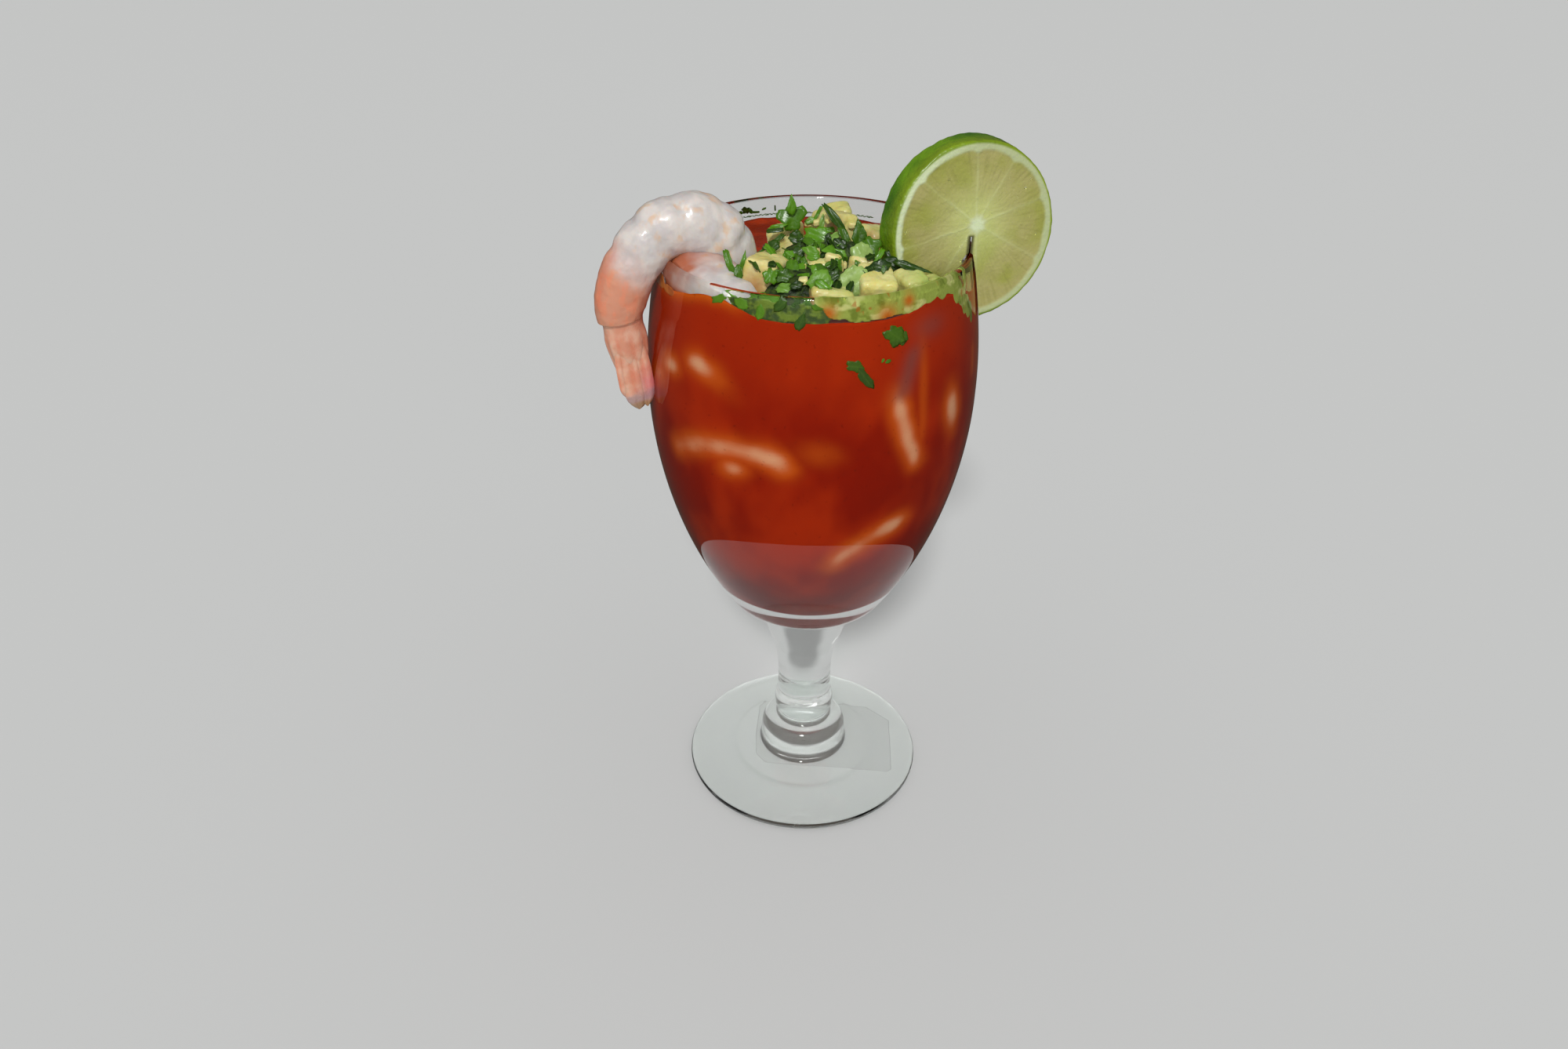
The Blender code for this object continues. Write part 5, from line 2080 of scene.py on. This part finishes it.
LOBED, CHIP, STRIP, POINTED = LeafCut.LOBED, LeafCut.CHIP, LeafCut.STRIP, LeafCut.POINTED
HEAP_LEAVES = (
    Leaf((-6.2, -1.0, 184.3), (-88, 18), 95, 9.4, 8.2, 0.28, LOBED),
    Leaf((-6.3, -1.6, 187.9), (-88, 12), 92, 5.4, 2.8, 0.36, POINTED),
    Leaf((-11.4, -13.0, 180.8), (-100, 30), 44, 9.6, 1.4, 0.16, STRIP, 0.30, 0.10),
    Leaf((-4.9, -10.0, 182.1), (-90, 25), 12, 4.6, 4.4, 0.10, CHIP),
    Leaf((-4.1, -14.8, 179.6), (-95, 30), 80, 4.4, 3.8, 0.12, CHIP, 0.15, 0.10),
    Leaf((-6.6, -18.6, 180.3), (-90, 30), 20, 3.6, 3.2, 0.46, CHIP),
    Leaf((1.0, -9.0, 182.4), (-92, 30), -8, 10.0, 5.6, 0.44, LOBED, 0.15, 0.20),
    Leaf((3.8, -10.6, 181.9), (-85, 25), 34, 5.8, 1.9, 0.74, STRIP, 0.30, 0.30),
    Leaf((-1.1, -14.2, 181.3), (-95, 35), 40, 3.6, 3.4, 0.18, CHIP),
    Leaf((5.9, -18.5, 181.2), (-90, 35), -14, 4.8, 2.6, 0.58, CHIP, 0.20, 0.20),
    Leaf((-0.2, -20.3, 180.6), (-90, 35), 2, 4.6, 2.4, 0.46, CHIP, 0.20, 0.20),
    Leaf((1.2, -33.3, 179.3), (-88, 30), 60, 8.6, 6.6, 0.62, CHIP, 0.10, 0.12),
    Leaf((-5.3, -23.8, 179.6), (-95, 30), 70, 3.6, 3.4, 0.56, CHIP),
    Leaf((-10.6, -30.7, 179.4), (-98, 30), 100, 4.6, 3.8, 0.34, LOBED),
    Leaf((-7.2, -30.2, 179.3), (-92, 32), 15, 5.6, 4.4, 0.18, LOBED),
    Leaf((-7.1, -32.6, 177.1), (-92, 30), 2, 5.6, 3.0, 0.64, CHIP, 0.15, 0.20),
    Leaf((11.7, -16.1, 180.4), (-86, 26), -42, 6.8, 6.0, 0.86, CHIP, 0.08, 0.10),
    Leaf((9.7, -30.0, 178.6), (-86, 24), 56, 10.4, 8.0, 0.92, CHIP, 0.08, 0.10),
    Leaf((5.7, -7.0, 185.1), (-78, 25), -55, 12.2, 2.5, 0.12, POINTED, 0.30, 0.10),
    Leaf((7.4, -10.0, 182.7), (-80, 25), -64, 6.0, 2.8, 0.20, CHIP, 0.20, 0.10),
    Leaf((11.0, -9.0, 183.3), (-84, 18), 94, 7.2, 4.4, 0.20, POINTED, 0.15, 0.00),
    Leaf((14.2, -13.5, 181.4), (-85, 30), -50, 6.6, 5.0, 0.26, LOBED, 0.15, 0.10),
    Leaf((16.0, -17.0, 180.2), (-85, 35), 58, 4.2, 1.5, 0.52, STRIP, 0.20, 0.10),
    Leaf((18.8, -19.5, 179.1), (-90, 36), -6, 9.4, 4.2, 0.03, CHIP),
    Leaf((24.2, -22.7, 179.5), (-90, 36), -15, 10.4, 2.3, 0.07, POINTED, 0.15, 0.10),
    Leaf((19.6, -15.5, 179.8), (-90, 30), -28, 5.4, 3.6, 0.02, CHIP),
    Leaf((15.7, -27.1, 181.1), (-90, 38), 10, 6.4, 4.0, 0.04, CHIP),
    Leaf((1.7, -0.8, 183.2), (-90, 20), 82, 4.6, 1.9, 0.70, CHIP, 0.10, 0.00),
    Leaf((0.3, 1.4, 184.4), (-90, 20), 62, 5.2, 1.0, 0.40, STRIP, 0.10, 0.00),
    Leaf((-1.5, 1.0, 183.1), (-90, 25), 35, 3.8, 2.2, 0.66, CHIP),
    Leaf((6.2, -14.2, 182.0), (-90, 35), -20, 5.0, 3.4, 0.02, CHIP),
    Leaf((4.5, -30.8, 179.7), (-90, 30), 60, 5.4, 3.4, 0.08, LOBED),
    Leaf((-4.2, -34.0, 178.5), (-90, 32), 10, 4.4, 2.6, 0.04, CHIP),
    Leaf((-8.9, -29.2, 179.7), (-95, 30), 30, 3.6, 2.6, 0.30, POINTED),
    Leaf((-2.8, -22.1, 179.3), (-90, 30), 75, 4.6, 2.6, 0.26, CHIP),
    Leaf((4.2, -23.2, 180.1), (-90, 32), 40, 4.4, 2.4, 0.30, POINTED),
    Leaf((2.8, -3.4, 182.0), (-90, 30), 4, 4.4, 1.6, 0.50, STRIP, 0.20, 0.10),
    Leaf((-9.7, -3.0, 182.3), (-95, 28), 22, 5.6, 2.2, 0.40, POINTED),
    Leaf((-10.4, -4.0, 181.8), (-95, 32), 8, 4.6, 1.2, 0.10, STRIP),
    Leaf((-20.6, -24.9, 180.0), (-100, 15), -62, 7.4, 1.9, 0.30, STRIP, 0.15, 0.25),
    Leaf((-17.4, -26.4, 180.4), (-85, 15), 78, 7.4, 2.4, 0.34, POINTED, 0.15, 0.25),
    Leaf((-15.8, -26.2, 180.8), (-95, 20), 55, 4.0, 1.8, 0.28, CHIP, 0.15, 0.25),
    Leaf((-18.4, -27.4, 179.0), (-90, 20), 100, 4.4, 2.6, 0.22, CHIP, 0.15, 0.25),
)


BAND_LEAVES = (
    (-124, 174.6, 20, 6.0, 2.4, 0.46, LOBED), (-121, 175.6, -15, 5.0, 1.6, 0.56, STRIP),
    (-118.5, 174.0, 35, 5.4, 3.0, 0.62, LOBED), (-115, 174.6, -10, 5.0, 3.0, 0.56, CHIP),
    (-113, 172.6, 50, 4.6, 2.6, 0.40, POINTED), (-110.5, 175.6, 12, 5.4, 2.2, 0.48, LOBED),
    (-108, 173.2, 80, 4.8, 3.0, 0.54, CHIP), (-105.5, 176.2, -8, 5.6, 2.0, 0.34, STRIP),
    (-104, 173.6, 18, 5.6, 3.2, 0.40, LOBED), (-101, 175.4, 40, 4.6, 3.0, 0.16, CHIP),
    (-99.0, 172.2, -20, 5.2, 2.6, 0.10, CHIP), (-96.5, 174.8, 15, 5.6, 3.0, 0.14, LOBED),
    (-94, 172.2, 70, 4.8, 2.8, 0.16, POINTED), (-91.5, 175.2, -30, 5.0, 2.6, 0.20, CHIP),
    (-89.4, 172.2, 84, 5.4, 3.4, 0.12, LOBED), (-88.4, 175.6, 10, 4.0, 2.0, 0.42, CHIP),
    (-86, 173.6, 30, 4.0, 2.2, 0.55, CHIP), (-128, 172.6, 5, 4.6, 1.6, 0.24, STRIP),
    (-78, 174.8, 10, 3.0, 1.8, 0.40, CHIP), (-71, 173.0, -40, 2.6, 1.6, 0.35, CHIP),
    (-62.5, 175.6, 30, 2.4, 1.6, 0.36, CHIP),
)
SUNK_LEAVES = (
    (-61.6, 167.2, -38, 7.8, 5.6, 0.24, LOBED), (-58.6, 166.2, 60, 4.6, 3.4, 0.20, CHIP),
    (-75.6, 161.0, -12, 5.6, 3.6, 0.20, LOBED), (-72.4, 157.8, -55, 7.6, 3.0, 0.13, CHIP),
    (-64.6, 161.4, 10, 1.8, 1.2, 0.30, CHIP), (-66.4, 161.8, 60, 1.4, 0.9, 0.40, CHIP),
)
TRACE_LEAVES = (
    (120.6, 174.9, 10, 3.4, 2.4, 0.04, LOBED), (118.2, 174.4, 60, 2.2, 1.4, 0.10, CHIP),
    (122.8, 174.4, 30, 2.0, 1.2, 0.16, CHIP), (112.2, 174.6, -20, 1.6, 0.8, 0.24, CHIP),
    (116.0, 173.9, 8, 2.6, 0.8, 0.14, STRIP), (107.4, 174.6, 84, 1.8, 0.5, 0.10, STRIP),
)
FROTH = tuple(
    (66.0 + 0.69 * n, 172.8 + 0.16 * math.sin(2.3 * n), 5 * math.sin(1.7 * n), 1.1 + 0.3 * math.sin(n),
     0.30, 0.20 + 0.14 * math.sin(3.1 * n), CHIP)
    for n in range(84)
)
DROPS = tuple(((x, -3.78, z), (size, 0.24, size), 0.0) for x, z, size in (
    (-19.0, 1.7, 0.34), (-7.8, 13.3, 0.22), (6.7, 7.4, 0.22), (11.5, 7.7, 0.24), (13.6, 9.7, 0.30),
    (15.0, 11.9, 0.28), (-3.6, -7.0, 0.26), (15.5, 2.5, 0.24), (-4.0, -3.2, 0.20), (4.5, 4.3, 0.20),
    (-2.3, -1.8, 0.20), (9.0, 12.5, 0.18), (-12.0, 4.0, 0.16), (17.5, -2.0, 0.20),
))
BITS = (
    ((4.5, -20.9, 180.5), (2.1, 1.3, 1.2), -12), ((7.2, -18.6, 178.2), (0.8, 1.2, 0.8), 0),
    ((-2.5, -22.8, 178.9), (0.5, 1.6, 0.6), 0), ((-2.6, -32.0, 178.9), (1.2, 1.3, 0.8), 10),
    ((-2.0, 2.0, 181.9), (1.0, 0.9, 0.8), 0), ((0.2, 1.4, 182.5), (0.9, 1.7, 0.8), 5),
    ((9.5, 0.4, 182.1), (1.0, 0.9, 0.8), 0), ((3.2, -1.4, 184.6), (0.9, 3.6, 0.8), 34),
)


def pressed(rows: tuple[tuple, ...], beyond: float, relief: float) -> list[Leaf]:
    """Leaves that lie against the inside of the glass.

    Args:
        rows: Azimuth, height, spin, length, width, tone and cut of each.
        beyond: How far the first lies beyond the wall, in mm.
        relief: How much the others' depths differ, in mm.

    Returns:
        The leaves.
    """
    leaves = []
    for number, (azimuth, height, spin, length, width, tone, cut) in enumerate(rows):
        depth = beyond - relief * (number % 3) / 2
        leaves.append(WallLeaf((azimuth, height, depth), (0, 0), spin, length, width, tone, cut, 0.0, 0.0,
                               waviness=0.0, thickness=0.10))
    return leaves


def heap_ground(pieces: list[Piece]) -> BVHTree:
    """Search tree of the pieces that herbs lie on.

    Args:
        pieces: The pieces.

    Returns:
        The tree.
    """
    bodies = [(places_of(piece), [tuple(face.vertices) for face in piece.data.polygons]) for piece in pieces]
    points, faces = joined(bodies)
    return BVHTree.FromPolygons(points.tolist(), faces)


def main() -> None:
    """Build every piece in order."""
    logging.basicConfig(level=logging.INFO, format="%(name)s %(message)s")
    Goblet().build(ClearGlass())
    Studio().build()
    SauceFill().build(TomatoSauce())
    RimPrawn().build(PrawnFlesh(), PrawnShell())
    LimeWheel().build(LimeFlesh())
    chunks = AvocadoHeap().build(AvocadoFlesh())
    green = CorianderLeaf().material()
    herbs = Coriander(HEAP_LEAVES)
    heap = heap_ground([*chunks, HerbMound().build()])
    herbs.build("coriander_leaves", green, [*herbs.laid, *herbs.scatter(heap)])
    at_glass = pressed(BAND_LEAVES, 0.18, 1.2) + pressed(SUNK_LEAVES, 0.30, 0.05)
    herbs.build("coriander_at_glass", green, at_glass)
    herbs.build("coriander_traces", green, pressed(TRACE_LEAVES + FROTH, 0.12, 0.1))
    SmallBodies("avocado_bits", BITS, 0.5).build("avocado", AvocadoFlesh().material())
    SmallBodies("lime_drops", DROPS).build("clear_glass", ClearGlass().material(), LimeWheel().matrix())
    FootFilm().build()
    mash = WallSmear("avocado_mash", MASH_DABS, 1.6, 3.4, 2.0, 0.38, blots=MASH_BLOTS)
    mash.build("avocado", AvocadoMash().material())
    WallSmear("avocado_streak", STREAK_DABS, 0.7, 4.0, 4.0, 0.28).build("avocado", AvocadoMash().material())
    mush = PlainFinish("coriander_mush", (44, 70, 10), (104, 128, 26), 0.0022, 0.6)
    WallSmear("coriander_mush", MUSH_DABS, 0.9, 2.4, 6.0, 0.45, 0.06).build("coriander", mush.material())
    PressedBody("prawn_at_glass", BODY_STATIONS).build("prawn_flesh", PrawnFlesh().material())
    film = PlainFinish("sauce_film", (168, 84, 26), (196, 118, 52), 0.004)
    WallSmear("sauce_film", FILM_DABS, 0.3, 3.0, 8.0, 0.6, 0.20).build("tomato_sauce", film.material())


if __name__ == "__main__":
    main()
